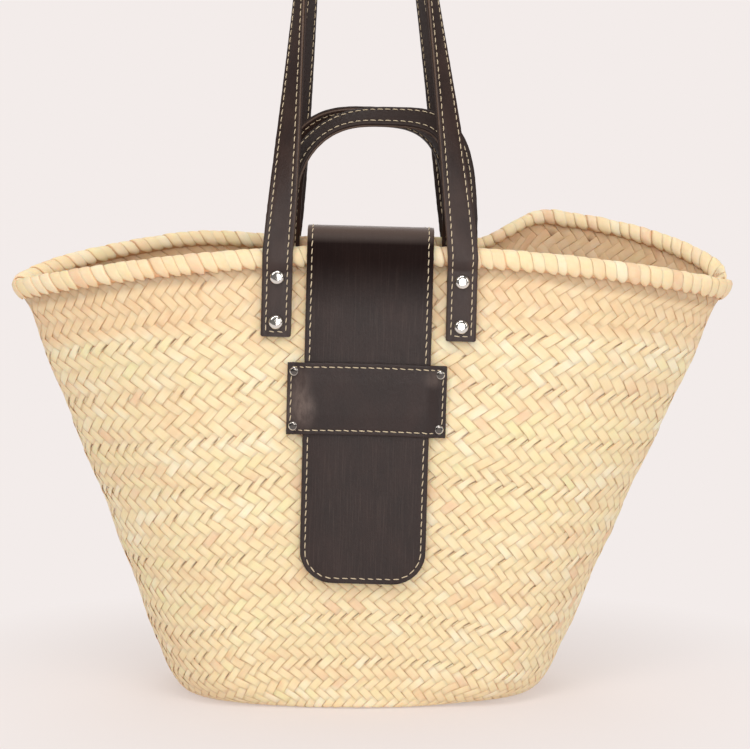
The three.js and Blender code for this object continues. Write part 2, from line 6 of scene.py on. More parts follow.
import bpy
import numpy as np
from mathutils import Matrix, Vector


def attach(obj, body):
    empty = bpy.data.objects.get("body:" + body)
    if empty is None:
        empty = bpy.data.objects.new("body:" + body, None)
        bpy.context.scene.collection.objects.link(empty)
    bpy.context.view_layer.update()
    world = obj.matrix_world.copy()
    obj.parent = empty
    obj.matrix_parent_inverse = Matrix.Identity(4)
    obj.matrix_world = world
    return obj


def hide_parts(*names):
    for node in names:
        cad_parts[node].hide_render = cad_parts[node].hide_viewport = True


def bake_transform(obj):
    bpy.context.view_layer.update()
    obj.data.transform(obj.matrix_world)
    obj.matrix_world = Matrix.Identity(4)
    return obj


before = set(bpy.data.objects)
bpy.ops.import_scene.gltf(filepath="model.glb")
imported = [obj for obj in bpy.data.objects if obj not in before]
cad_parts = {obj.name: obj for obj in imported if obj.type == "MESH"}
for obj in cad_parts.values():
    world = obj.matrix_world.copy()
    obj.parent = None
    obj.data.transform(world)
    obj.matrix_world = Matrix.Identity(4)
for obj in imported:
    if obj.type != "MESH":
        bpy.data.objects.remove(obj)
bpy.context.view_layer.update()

MM = 0.001

# Shell
WALL = 4.0
FOOT_HALF = 138.0
MOUTH_HALF = 256.0
END_HOLLOW = 2.2
END_BULGE = 4.0
BULGE_PEAK = 27 / 256
END_FLARE = 4.5
END_FLARE_REACH = 30.0
FLAT_HALF = 84.0
FLAT_SHARE = 0.35
MOUTH_POINTING = 0.35
BASE_OVAL = {"long": 128.0, "deep": 84.5}
CORNER_HEIGHT = 24.0
RIM_OFFSET = 11.0
FITTINGS_OFFSET = 9.0
FRONT_DEPTH = {"foot": 85.0, "crease": 80.5, "rim": 74.0}
REAR_DEPTH = {"foot": 85.0, "crease": 74.0, "rim": 64.0}
RIM_HEIGHT = 325.0
RIM_DROOP = 28.0
RIM_DROOP_CURVE = 0.95
REAR_RISE = 3.0
LOBE_FOOT = 110.0
LOBE_FADE = 0.38
RIGHT_LOBE = {"rise": 27.5, "swell": 17.0, "start": 69.0, "crest": 132.0, "hold": 155.0}
LEFT_LOBE = {"rise": 12.5, "swell": 11.0, "start": 32.0, "crest": 152.0, "hold": 177.0}

# Wrapped binding of the rim
BINDING_HEIGHT = 14.6
BINDING_WIDTH = 10.5
BINDING_BEND = 6.0
RIM_SEAT = 0.8
WRAPS = 132
WRAP_SLANT = 1.7
WRAP_STEPS = 25
WRAP_LINES = 7
WRAP_THICKNESS = 0.5
WRAP_ROOM = {"across": 1.6, "up": 1.0}
WRAP_HALF = (0.53, 0.66)
WRAP_SHIFT = 0.075
WRAP_OVERLAP = 0.17

# Leather
LEATHER = 1.6
CLEARANCE = 0.3
STRAP_THICKNESS = 2 * LEATHER + CLEARANCE
LEATHER_LEAN = math.radians(1.5)
STRAP_WIDTH = 21.0
STRAP_CORNER = 1.6
STATION_STEP = 2.4
STRAP_HALF_SPACING = 64.0
UPPER_RIVET_DROP = 24.5
RIVET_SPACING = 31.0
STRAP_TAIL = 10.0
STRAP_END_DROP = UPPER_RIVET_DROP + RIVET_SPACING + STRAP_TAIL
CREASE_HEIGHT = RIM_HEIGHT - STRAP_END_DROP - 4.0
HINGE_DROP = BINDING_HEIGHT / 2
STRAP_OVER_RIM = BINDING_WIDTH / 2 - WALL / 2 + CLEARANCE
RIVET = {"cap": 5.3, "dome": 2.9}

# Loops of the handles, and how far below and above its hinge a strap bends
LEAN_START = 0.06
LOOP_STEPS = 240
LONG_LOOP = {"rise": 296.0, "twist": 90.0, "turn_rate": 0.9, "leg_curve": 1.1, "drift_curve": 1.3}
LONG_FRONT = {"top_half": 37.0, "lean_in": 42.0, "drift": -15.0, "skew": 0.0}
LONG_REAR = {"top_half": 30.0, "lean_in": 9.0, "drift": 15.0, "skew": 0.0}
SHORT_LOOP = {"rise": 95.0, "twist": -48.0, "turn_rate": 0.9, "squareness": 3.1, "drift_curve": 3.0}
SHORT_FRONT = {"lean_in": 33.0, "drift": 12.0, "skew": -0.7}
SHORT_REAR = {"lean_in": 29.0, "drift": 2.0, "skew": -0.3}
STRAP_BEND = {"below": 6.0, "above": 9.0}

# Flap and keeper
FLAP_WIDTH = 87.5
FLAP_CORNER = 23.0
FLAP_FOLD = 14.0
FLAP_OVER_RIM = 9.5
FLAP_REAR = {"rise": 21.0, "back": 6.0}
FLAP_BELOW_RIM = 30.0
FLAP_CROWN = {"reach": 60.0, "rise": -10.0}
FLAP_TAIL_DROP = 50.0
FLAP_SLACK = 75.0
FLAP_STATION_STEP = 2.2
FLAP_RIVET = {"cap": 4.5, "dome": 2.2, "spacing": 30.0, "drop": 40.0}
KEEPER_WIDTH = 110.6
KEEPER_HEIGHT = 50.0
KEEPER_LEATHER = 2.4
KEEPER_SLACK = 0.9
KEEPER_STEP = 1.6
KEEPER_ARCH = 0.9
KEEPER_BORDER = 3.1
KEEPER_RELIEF = {"press": 0.25, "edge": 0.45, "pillow": 0.7}
KEEPER_BELOW_CREASE = 13.0
KEEPER_RIVET = {"cap": 3.3, "dome": 1.9, "inset_across": 4.7, "inset_up": 6.0}
KEEPER_TOP = CREASE_HEIGHT - RIM_HEIGHT - KEEPER_BELOW_CREASE
KEEPER_MIDDLE = KEEPER_TOP - KEEPER_HEIGHT / 2
TONGUE_ABOVE_KEEPER = 11.0
TONGUE_BELOW_KEEPER = 103.0
TONGUE_TOP = KEEPER_TOP + TONGUE_ABOVE_KEEPER
TONGUE_TIP = KEEPER_MIDDLE - KEEPER_HEIGHT / 2 - TONGUE_BELOW_KEEPER

# Weave: columns round the basket, half rows up it, strands of its two braids, and the leaf itself
AROUND = 96
HALF_ROWS = 74
HIDDEN_ROWS = 2
LOWER_ENDS = {"right": 66.9, "left": 68.3}
UPPER_STARTS = {"right": 66.6, "left": 68.0}
STRANDS = {"lower": 96, "upper": 120}
STRAND_GROUPS = 4
LEAF_RELIEF = 0.27
LEAF_THICKNESS = 0.38
LEAF_SHARE = 1.03
LEAF_TILT = 0.06
LEAF_GRIP = 2.8
LEAF_STEP = 0.29
SHRUNK_DROP = 0.35
WOBBLE = {"around": 0.2, "up": 0.28}
BULGE = 0.8
COURSE_RELIEF = 0.5
COURSE_ROWS = 16
ROW_GROWTH = 0.2
TURN_IN_ROWS = 3
TURN_IN_PITCH = 3.6
BASE_RING_HEIGHT = 1.5
BASE_PANEL_HEIGHT = 3.3
BASE_HALF_STEPS = (4.7, 3.7)
BASE_LEAF_STEP = 0.33

# Stitches
STITCH_INSET = 3.5
STITCH_PITCH = 5.3
FLAP_STITCH_PITCH = 5.7
STITCH_SHARE = 0.74
STITCH_LIFT = 0.1
THREAD_RADIUS = 0.37

# Camera
CAMERA_DISTANCE = 1600.0
CAMERA_ELEVATION = math.radians(5.0)
CAMERA_TARGET = (12.0, 0.0, 228.3)
CAMERA_LENS = 105.2


def smooth(x, low, high):
    t = np.clip((np.asarray(x, float) - low) / (high - low), 0, 1)
    return t * t * (3 - 2 * t)


def unit(vectors):
    return vectors / np.linalg.norm(vectors, axis=-1, keepdims=True)


def squared_off(vectors, directions):
    """Unit vectors without their part along unit directions."""
    return unit(vectors - directions * np.sum(vectors * directions, axis=-1, keepdims=True))


def run_lengths(points):
    """How far each point of a run lies from its first, along the run."""
    steps = np.linalg.norm(np.diff(points, axis=0), axis=-1)
    return np.concatenate([np.zeros_like(steps[:1]), np.cumsum(steps, axis=0)])


def looked_up(x, knots, table):
    """Rows of a table at places x between the knots of its rows."""
    return np.stack([np.interp(x, knots, column) for column in table.T], -1)


def between(table, i, j, a, b):
    """Values a of the way from row i and b of the way from column j, in a table that closes across."""
    j, k = j % table.shape[1], (j + 1) % table.shape[1]
    low = table[i, j] * (1 - b) + table[i, k] * b
    high = table[i + 1, j] * (1 - b) + table[i + 1, k] * b
    return low * (1 - a) + high * a


def together(*tables):
    return np.stack(np.broadcast_arrays(*tables), -1)


def linear(red, green, blue):
    """A colour given as 0 to 255 display values, as linear light."""
    values = np.array([red, green, blue]) / 255
    return np.where(values < 0.04045, values / 12.92, ((values + 0.055) / 1.055) ** 2.4)


# Shell of the basket: a place on it has a side, rear, middle and turn, as in the frame's own wall

def centre_x(z):
    return RIM_OFFSET * z / RIM_HEIGHT


def middle_depth(depth, z):
    low = depth["foot"] + (depth["crease"] - depth["foot"]) * z / CREASE_HEIGHT
    up = (z - CREASE_HEIGHT) / (RIM_HEIGHT - CREASE_HEIGHT)
    return np.where(z < CREASE_HEIGHT, low, depth["crease"] + (depth["rim"] - depth["crease"]) * up)


def half_length(z):
    tip = RIM_HEIGHT - RIM_DROOP
    up = z / tip
    hollow = 4 * END_HOLLOW * up * (1 - up)
    bulge = END_BULGE * up ** 3 * (1 - up) / BULGE_PEAK
    flare = END_FLARE * smooth(z, tip - END_FLARE_REACH, tip)
    return FOOT_HALF + (MOUTH_HALF - FOOT_HALF) * up - hollow + bulge + flare


def lobe_part(side, measure, distance, start=None):
    """What the right or the left lobe adds to a measure at a distance from the centre line."""
    parts = []
    for lobe in (RIGHT_LOBE, LEFT_LOBE):
        fade = np.clip((distance - lobe["hold"]) / (MOUTH_HALF - lobe["hold"]), 0, 1)
        grown = smooth(distance, lobe["start"] if start is None else start, lobe["crest"])
        parts.append(lobe[measure] * (grown * (1 - fade ** 2) ** LOBE_FADE))
    return np.where(side > 0, *parts)


def rim_top(x, rear):
    """Height of the top of the rim at a distance along x from the centre line."""
    distance = np.abs(x)
    share = np.clip(distance / MOUTH_HALF, 0, 1)
    z = RIM_HEIGHT - RIM_DROOP + RIM_DROOP * (1 - share ** 2) ** RIM_DROOP_CURVE
    rise = REAR_RISE * (1 - smooth(distance, FLAT_HALF, MOUTH_HALF))
    return z + rear * (lobe_part(x, "rise", distance) + rise)


def shell_point(place, z, inset, floor=0.0):
    side, rear, middle, turn = place
    z = np.broadcast_to(z, side.shape)
    below = np.clip(1 - (z - floor) / (CORNER_HEIGHT - floor), 0, 1)
    drawn_in = 1 - np.sqrt(1 - below ** 2)
    half = half_length(z) - inset
    deep = np.where(rear, middle_depth(REAR_DEPTH, z), middle_depth(FRONT_DEPTH, z)) - inset
    pointing = MOUTH_POINTING * smooth(z, 0, RIM_HEIGHT - RIM_DROOP)
    cos = np.cos(turn)
    full_x = middle * FLAT_HALF + (half - FLAT_HALF) * np.sin(turn)
    full_y = deep * ((1 - pointing) * cos + pointing * cos ** 3)
    share = full_x / half
    x = full_x + ((BASE_OVAL["long"] - inset) * share - full_x) * drawn_in
    oval_y = (BASE_OVAL["deep"] - inset) * np.sqrt(np.clip(1 - share ** 2, 0, 1))
    y = full_y + (oval_y - full_y) * drawn_in
    up = np.clip((z - LOBE_FOOT) / (RIM_HEIGHT - LOBE_FOOT), 0, 1.2)
    y = y + rear * lobe_part(side, "swell", x, FLAT_HALF) * up ** 2 * cos
    return np.stack([centre_x(z) + side * x, np.where(rear, y, -y), z], -1)


def round_places(count):
    """Places from the middle of the front, past the right end, round to the start."""
    ring = np.arange(count) / count * 4
    distance = np.abs((ring + 1) % 2 - 1)
    side = np.where(ring < 2, 1.0, -1.0)
    rear = (ring >= 1) & (ring < 3)
    middle = np.minimum(1, distance / FLAT_SHARE)
    turn = np.clip((distance - FLAT_SHARE) / (1 - FLAT_SHARE), 0, 1) * math.pi / 2
    return side, rear, middle, turn


def wall_top(place):
    """Height at which the wall ends under the binding, found step by step because the wall leans."""
    z = np.full(place[0].shape, CREASE_HEIGHT)
    for _ in range(4):
        p = shell_point(place, z, 0)
        z = rim_top(p[:, 0] - centre_x(z), place[1]) - BINDING_HEIGHT - RIM_SEAT
    return z


class Wall:
    """The middle of the wall as a grid over columns round it and half rows up it."""

    per_column = 4
    per_row = 2

    def __init__(self):
        places = round_places(720)
        tops = wall_top(places)
        start = BASE_RING_HEIGHT

        def level(up, inset=WALL / 2):
            return shell_point(places, start + (tops - start) * up, inset, start)

        steps = np.linspace(0, 1, 90)
        reached = run_lengths(np.stack([level(step) for step in steps]))
        rows = np.arange((HALF_ROWS + HIDDEN_ROWS) * self.per_row + 1) / self.per_row / HALF_ROWS
        shares = rows * (1 - ROW_GROWTH / 2) + rows ** 2 * ROW_GROWTH / 2
        turned_in = np.arange(TURN_IN_ROWS * self.per_row, 0, -1) / self.per_row * TURN_IN_PITCH
        levels = [level(0, WALL / 2 + inset) for inset in turned_in]
        for share in shares:
            up = np.array([np.interp(share * run[-1], run, steps) for run in reached.T])
            levels.append(level(up + max(0.0, share - 1)))
        self.grid = np.stack([self.even(ring) for ring in levels])
        around = np.roll(self.grid, -1, axis=1) - np.roll(self.grid, 1, axis=1)
        self.normals = unit(np.cross(around, np.gradient(self.grid, axis=0)))

    def even(self, ring):
        """The same ring with its points at even spacing."""
        closed = np.vstack([ring, ring[:1]])
        reached = run_lengths(closed)
        count = AROUND * self.per_column
        return looked_up(np.arange(count) / count * reached[-1], reached, closed)

    def at(self, u, v):
        """Points and outward directions at columns u and half rows v."""
        column = (u % AROUND) * self.per_column
        row = np.clip((v + TURN_IN_ROWS) * self.per_row, 0, len(self.grid) - 1.001)
        i, j = row.astype(int), column.astype(int)
        a, b = (row - i)[..., None], (column - j)[..., None]
        return between(self.grid, i, j, a, b), unit(between(self.normals, i, j, a, b))


def soft_field(rng, rows, columns):
    """A smooth random function of column and half row, even round the basket."""
    table = rng.uniform(-1, 1, (rows, columns))

    def at(u, v):
        x = (u % AROUND) / AROUND * columns
        y = np.clip(v / HALF_ROWS, 0, 0.9999) * (rows - 1)
        i, j = y.astype(int), x.astype(int)
        return between(table, i, j, smooth(y - i, 0, 1), smooth(x - j, 0, 1))

    return at


# Meshes: a shape is its faces, in groups with one count of corners, its points, its uv and perhaps tint

def make_piece(name, shape, material, sharp=None):
    """An object in metres from a shape in millimetres."""
    faces, points, uv, *tint = shape
    mesh = bpy.data.meshes.new(name)
    points = points.reshape(-1, 3)
    corners = np.concatenate([group.ravel() for group in faces]).astype(np.int32)
    sizes = np.concatenate([np.full(len(group), group.shape[1]) for group in faces])
    mesh.vertices.add(len(points))
    mesh.vertices.foreach_set("co", (points * MM).ravel())
    mesh.loops.add(len(corners))
    mesh.loops.foreach_set("vertex_index", corners)
    mesh.polygons.add(len(sizes))
    mesh.polygons.foreach_set("loop_start", np.concatenate([[0], np.cumsum(sizes)[:-1]]).astype(np.int32))
    mesh.update(calc_edges=True)
    mesh.validate()
    mesh.polygons.foreach_set("use_smooth", np.ones(len(sizes), bool))
    layer = mesh.uv_layers.new(name="UVMap")
    layer.data.foreach_set("uv", uv.reshape(-1, 2)[corners].ravel())
    if tint:
        colours = mesh.color_attributes.new(name="tint", type="FLOAT_COLOR", domain="POINT")
        colours.data.foreach_set("color", tint[0].ravel())
    if sharp is not None:
        mesh.set_sharp_from_angle(angle=math.radians(sharp))
    mesh.materials.append(material)
    piece = bpy.data.objects.new(name, mesh)
    bpy.context.scene.collection.objects.link(piece)
    return piece


def tube_faces(count, rings, sides, ends=True, flipped=False):
    """Faces of tubes with closed sections, for points in the order tube, ring, side."""
    tube = np.arange(count)[:, None, None] * rings * sides
    ring = tube + np.arange(rings - 1)[:, None] * sides
    k = np.arange(sides)
    n = (k + 1) % sides
    groups = [np.stack([ring + k, ring + n, ring + sides + n, ring + sides + k], -1).reshape(-1, 4)]
    if ends:
        groups += [tube[:, 0] + k[::-1], tube[:, 0] + (rings - 1) * sides + k]
    return [group[:, ::-1] for group in groups] if flipped else groups


def join(shapes):
    """One shape from several."""
    groups, start = {}, 0
    for faces, points, *_ in shapes:
        for group in faces:
            groups.setdefault(group.shape[1], []).append(group + start)
        start += points.size // 3
    tables = []
    for parts in zip(*[shape[1:] for shape in shapes]):
        tables.append(np.concatenate([part.reshape(-1, part.shape[-1]) for part in parts]))
    return [np.concatenate(group) for group in groups.values()], *tables


# Weave

# Section of a leaf: across it from edge to edge over the top and back under it
SECTION_ACROSS = np.array([-1, -0.88, -0.45, 0, 0.45, 0.88, 1, 0.88, -0.88])
SECTION_LIFT = np.array([0, 0.8, 1.25, 1.4, 1.25, 0.8, 0, -0.9, -0.9])

# Rows of floats counted down from the rim whose leaves have shrunk and stand apart, in each family
OPEN_ROWS = {"right": (4, 8, 12, 16, 22, 28, 32), "left": (7, 15, 19, 25, 29)}
OPEN_CHANCE = {"right": 0.65, "left": 0.2}

# Rows and columns of the soft fields: wobble across and up, bulge, light and warmth
FIELD_SIZES = ((12, 30), (12, 30), (9, 16), (26, 14), (26, 12))

CREAM = linear(248, 223, 181)
PALE = linear(252, 236, 205)
GREENISH = linear(243, 228, 180)
PINKISH = linear(238, 200, 164)
TAN = linear(230, 188, 148)
# Dark brown painted as shade in the open gaps between leaves and under the rim's wraps
PAINTED_SHADE_BROWN = linear(66, 38, 18)


def table_at(table, x):
    """Values between the knots of each row of a table, at places x along it."""
    x = np.clip(x, 0, table.shape[1] - 1.001)
    i = np.broadcast_to(x, (table.shape[0], x.shape[-1])).astype(int)
    part = x - i
    part = part * part * (3 - 2 * part)
    rows = np.arange(table.shape[0])[:, None]
    return table[rows, i] * (1 - part) + table[rows, i + 1] * part


class Leaves:
    """Random differences of a group of strands: width, lean, lift and colour of each float, and a painted
    shading slope across and along each float.
    """

    def __init__(self, rng, count, floats, family):
        def normal(spread, columns=floats):
            return rng.normal(0, spread, (count, columns))

        self.width = 1 - np.abs(normal(0.02))
        chance = np.full(floats, 0.03)
        for row in OPEN_ROWS[family]:
            chance[HALF_ROWS // 2 - row] = OPEN_CHANCE[family]
        self.thin = (rng.random((count, floats)) < chance) * rng.uniform(0.1, 0.3, (count, floats))
        self.shift = normal(0.022)
        self.tilt = normal(0.07)
        self.lift = normal(0.07)
        self.tone = normal(0.42, 1) + normal(0.4)
        self.hue = normal(0.34, 1) + normal(0.26)
        self.hue += (rng.random((count, floats)) < 0.03) * 1.3
        self.across = normal(0.38)
        self.along = normal(0.38)


def leaf_wave(s):
    """How a leaf goes over and under at half rows s along it, from 1 to -1."""
    return np.tanh(LEAF_GRIP * np.cos(math.pi / 2 * (s - 0.5))) / math.tanh(LEAF_GRIP)


def leaf_tint(tone, hue, top, edge):
    """Colours from how light a leaf is, its hue from green to pink, and how near it is to the rim, which on
    the rim's wraps is a warmer tan with painted shade at their feet.
    """
    tone, hue, top, edge = (table[..., None] for table in np.broadcast_arrays(tone, hue, top, edge))
    colour = CREAM
    for other, amount in (
        (PALE, smooth(tone, 0.1, 1.6)), (TAN, smooth(-tone, 0.5, 2.4) * 0.75),
        (GREENISH, smooth(-hue, 0.35, 1.6)), (PINKISH, smooth(hue, 0.35, 1.5) * 0.9), (TAN, top * 0.42),
    ):
        colour = colour + (other - colour) * amount
    return np.concatenate([colour, edge], -1)


def weave_shape(wall, fields, own, count, along, leaves, sign):
    """Strands that rise to the right, sign 1, or to the left, sign -1."""
    own = own[:, None, None]
    s = along[:, None]
    a = SECTION_ACROSS

    def of(table):
        return table_at(table, (along + 1.5) / 2)[:, :, None]

    width = LEAF_SHARE * (of(leaves.width) - of(leaves.thin))
    d = a * width / 2 + of(leaves.shift)
    u = (own + (d + sign * s) / 2) * AROUND / count
    v = s - sign * d
    wobble_u, wobble_v, bulge, light, warm = (field(u, v) for field in fields)
    v2 = v + WOBBLE["up"] * wobble_v
    base, out = wall.at(u + WOBBLE["around"] * wobble_u, v2)
    wave = leaf_wave(s)
    course = COURSE_RELIEF * np.cos(v2 * 2 * math.pi / COURSE_ROWS)
    at_end = out[..., 0] ** 6
    lift = sign * LEAF_RELIEF * (1 + 0.5 * at_end) * wave
    lift = lift + SECTION_LIFT * LEAF_THICKNESS / 2 + (LEAF_TILT + of(leaves.tilt)) * a
    lift = lift + of(leaves.lift) * (1 + 2.5 * at_end) + BULGE * bulge + course
    points = base + out * lift[..., None]
    float_place = np.clip((s - 1.5 + sign + 2) % 4 - 2, -1, 1)
    # Each float's tone slopes across and along it as painted light and shade, one side and one end lighter
    # than the other
    tone = of(leaves.tone) + 0.9 * light + of(leaves.across) * a + of(leaves.along) * float_place
    outside = SECTION_LIFT >= 0
    top = smooth(v, HALF_ROWS - 8.6, HALF_ROWS - 7.4) * np.where(outside, 1, 0.7)
    # Brown edge amount: at the leaf's sides partly its own browner edge and partly painted shade in the
    # creases between leaves, at the float's ends painted shade where it dives under
    edge = np.maximum(np.abs(a) ** 3, 0.72 * (1 - wave ** 2) ** 4)
    tint = leaf_tint(tone, of(leaves.hue) + 0.75 * warm, top, edge)
    # Where a leaf of an open row has shrunk, the gap at its end is painted dark as shade, and the leaf is
    # sunk a little there
    if sign > 0:
        from_end = (s - 1.3 + 2) % 4 - 2
        gap_and_shade = smooth(of(leaves.thin), 0.015, 0.05) * np.exp(-(from_end / 0.75) ** 4)
        gap_and_shade = gap_and_shade * smooth(a, 0.5, 0.9)
        tint[..., :3] += (PAINTED_SHADE_BROWN - tint[..., :3]) * gap_and_shade[..., None]
        points = points - out * (SHRUNK_DROP * gap_and_shade)[..., None]
    # Painted shade towards the ends of each float, where it dives under the crossing leaves
    tint[..., :3] *= 1 - 0.2 * smooth(np.abs(float_place), 0.62, 1.0)[..., None]
    # Painted shadow of the rim's wraps on the outside of the top rows
    painted_rim_shadow = smooth(v, HALF_ROWS - 1.8, HALF_ROWS - 0.7) * 0.3 * outside
    tint[..., :3] += (PAINTED_SHADE_BROWN - tint[..., :3]) * painted_rim_shadow[..., None]
    uv = together(a * 3.6 + own * 9.7, s * 7.5 + own * 13.1)
    return tube_faces(len(own), len(s), len(a)), points, uv, tint


def make_weave(wall, material):
    rng = np.random.default_rng(11)
    fields = [soft_field(rng, *size) for size in FIELD_SIZES]
    for braid, count in STRANDS.items():
        for family, sign in (("right", 1), ("left", -1)):
            low, high = -TURN_IN_ROWS, LOWER_ENDS[family]
            if braid == "upper":
                low, high = UPPER_STARTS[family], HALF_ROWS + HIDDEN_ROWS
            along = np.linspace(low, high, round((high - low) / LEAF_STEP))
            for part in range(STRAND_GROUPS):
                own = part * count / STRAND_GROUPS + np.arange(count // STRAND_GROUPS)
                leaves = Leaves(rng, len(own), HALF_ROWS // 2 + 6, family)
                shape = weave_shape(wall, fields, own, count, along, leaves, sign)
                piece = make_piece(f"{braid}_plait_rising_{family}_{part + 1}", shape, material)
                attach(piece, "basket")
    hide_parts("basket_body")


def base_edge(inset):
    """The edge of the flat base in one quarter, drawn in by an inset, as x rising and y falling."""
    quarter = 180
    places = tuple(table[:quarter] for table in round_places(4 * quarter))
    ring = shell_point(places, BASE_RING_HEIGHT, inset, BASE_RING_HEIGHT)
    return ring[:, 0], -ring[:, 1]


def make_base(material):
    """The flat panel of the base, plaited in straight rows and sewn in over the walls' turned ends."""
    rng = np.random.default_rng(5)
    edge_x, edge_y = base_edge(WALL / 2 + 1.5)
    step_x, step_y = BASE_HALF_STEPS
    reach = int(edge_x[-1] / step_x / 2 + edge_y[0] / step_y / 2) + 2
    a = SECTION_ACROSS
    d = a * LEAF_SHARE * 0.98 / 2
    s = np.arange(-2 * reach, 2 * reach, 0.05)
    parts = []
    for sign in (1, -1):
        for own in range(-reach, reach + 1):
            x = (2 * own + sign * s) * step_x
            inside = s[np.abs(s * step_y) < np.interp(np.abs(x), edge_x, edge_y, right=0)]
            if len(inside) < 12:
                continue
            low, high = inside.min(), inside.max()
            t = np.linspace(low, high, max(4, int((high - low) / BASE_LEAF_STEP)))[:, None]
            lift = sign * LEAF_RELIEF * 0.8 * leaf_wave(t) + SECTION_LIFT * LEAF_THICKNESS / 2
            points = together(
                (2 * own + d + sign * t) * step_x, (t - sign * d) * step_y, BASE_PANEL_HEIGHT - lift,
            )
            # Brown edge amount: partly the leaf's own edge colour, partly painted shade in the creases
            # between leaves
            edge = np.broadcast_to(np.abs(a) ** 3, lift.shape)
            tint = leaf_tint(rng.normal(-0.2, 0.6), rng.normal(0.1, 0.6), 0.0, edge)
            uv = together(a * 3 + own * 9.7, t * 6)
            parts.append((tube_faces(1, len(t), len(a), flipped=True), points, uv, tint))
    piece = make_piece("base_panel", join(parts), material)
    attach(piece, "basket")


# Rim

# The binding's section from the foot of its outer side over the top to the foot of its inner side
RIM_SECTION = np.array([
    [0.24, 0.06], [0.38, 0.16], [0.475, 0.32], [0.50, 0.54], [0.42, 0.80], [0.22, 0.96], [0.0, 1.0],
    [-0.22, 0.96], [-0.42, 0.82], [-0.50, 0.62], [-0.48, 0.46], [-0.38, 0.34], [-0.24, 0.27],
])


def rim_point(wall, u, across, high):
    """A point of the binding at columns u, across it outwards and up it from its seat."""
    top = np.full(u.shape, float(HALF_ROWS))
    seat, below, ahead, behind = (
        wall.at(u + step, top - drop)[0] for step, drop in ((0, 0), (0, 3.4), (0.4, 0), (-0.4, 0))
    )
    lean = seat - below
    lean = lean / lean[..., 2:]
    out = unit(np.cross((ahead - behind) * np.array([1, 1, 0]), np.array([0, 0, 1.0])))
    return seat + out * across[..., None] + lean * (RIM_SEAT + high)[..., None]


def section_at(share):
    """The binding's section at shares of the way round it, as across and high in millimetres."""
    place = np.clip(share, 0, 1) * (len(RIM_SECTION) - 1)
    section = looked_up(place, np.arange(len(RIM_SECTION)), RIM_SECTION)
    return (
        section[..., 0] * (BINDING_WIDTH - WRAP_ROOM["across"]),
        section[..., 1] * (BINDING_HEIGHT - WRAP_ROOM["up"]),
    )


def make_rim(wall, material):
    """The wraps of the binding, each a lapped strip of leaf, round a core coloured dark as painted shade
    between the wraps.
    """
    rng = np.random.default_rng(23)
    share = np.linspace(0, 1, WRAP_STEPS)[:, None]
    a = np.linspace(-1, 1, WRAP_LINES)
    wide = np.concatenate([a, a[::-1]]) + np.zeros((WRAP_STEPS, 1))
    narrow = 0.45 + 0.55 * smooth(share, 0, 0.17) * smooth(1 - share, 0, 0.17)
    # A constant warmer tan over each wrap, with painted shade added towards its feet, where it goes into
    # the wall
    tan_and_foot_shade = 0.3 + 0.45 * smooth(np.abs(share - 0.5) * 2, 0.5, 1.0)
    middle = BINDING_HEIGHT / 2
    flat_across, flat_high = section_at(share + np.zeros(a.shape))
    size = np.hypot(flat_across, flat_high - middle)
    parts = []
    for k in range(WRAPS):
        half = rng.uniform(*WRAP_HALF) * narrow
        u = k + 0.5 + rng.normal(0, WRAP_SHIFT) + WRAP_SLANT * (0.5 - share) + a * half
        u = u * AROUND / WRAPS
        crown = (0.25 + 0.75 * np.sqrt(np.clip(1 - a ** 2, 0, 1))) * rng.uniform(0.75, 1.05)
        grow = crown + (0.3 * a + rng.normal(0, WRAP_OVERLAP))
        across = flat_across * (1 + grow / size)
        high = middle + (flat_high - middle) * (1 + grow / size)
        outer = rim_point(wall, u, across, high)
        inner = rim_point(
            wall, u, across * (1 - WRAP_THICKNESS / size), high - (high - middle) * WRAP_THICKNESS / size,
        )
        ring = np.concatenate([outer, inner[:, ::-1]], axis=1)
        # Brown wrap edges: partly the leaf's own edge colour, partly painted shade where the wraps lap
        tint = leaf_tint(rng.normal(0.15, 0.7), rng.normal(0.1, 0.65), tan_and_foot_shade, np.abs(wide) ** 4)
        uv = together(wide * 6 + k * 17, share * 42 + k * 31)
        parts.append((tube_faces(1, WRAP_STEPS, 2 * WRAP_LINES, flipped=True), ring, uv, tint))
    sides = 24
    u = np.arange(AROUND * 3)[:, None] / 3 + np.zeros(sides)
    across, high = section_at(np.linspace(0.02, 0.98, sides) + np.zeros(u.shape))
    core = rim_point(wall, u, across, high)
    core = np.concatenate([core, core[:1]])
    faces = tube_faces(1, len(core), sides, ends=False, flipped=True)
    # The core is tinted darkest tan with full brown edge, as painted shade where it shows between the wraps
    tint = leaf_tint(np.full(core.shape[:2], -2.4), 0.0, 1.0, 1.0)
    parts.append((faces, core, np.zeros(core[..., :2].shape), tint))
    piece = make_piece("wrapped_rim", join(parts), material)
    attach(piece, "basket")
    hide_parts("rim_binding")


# Frames on the flat parts of the two long sides

class WallFrame:
    """A frame on a flat part of a long side: x along it, y up it, z out of it, at the rim's middle."""

    def __init__(self, rear, low, high):
        side = -1.0 if rear else 1.0
        up = unit((high - low) * np.array([0, 1, 1]))
        along = np.array([side, 0, 0])
        out = np.cross(along, up)
        lean = side * LEATHER_LEAN
        lean_up = up * math.cos(lean) + along * math.sin(lean)
        self.axes = np.stack([np.cross(lean_up, out), lean_up, out])
        self.origin = high
        self.rear = rear

    def at(self, points):
        return self.origin + np.asarray(points, float) @ self.axes

    def turned(self, vectors):
        return vectors @ self.axes

    def inside(self, points):
        return (points - self.origin) @ self.axes.T


def middle_point(rear, z):
    depth = float(middle_depth(REAR_DEPTH if rear else FRONT_DEPTH, np.float64(z)))
    return np.array([FITTINGS_OFFSET, depth if rear else -depth, z])


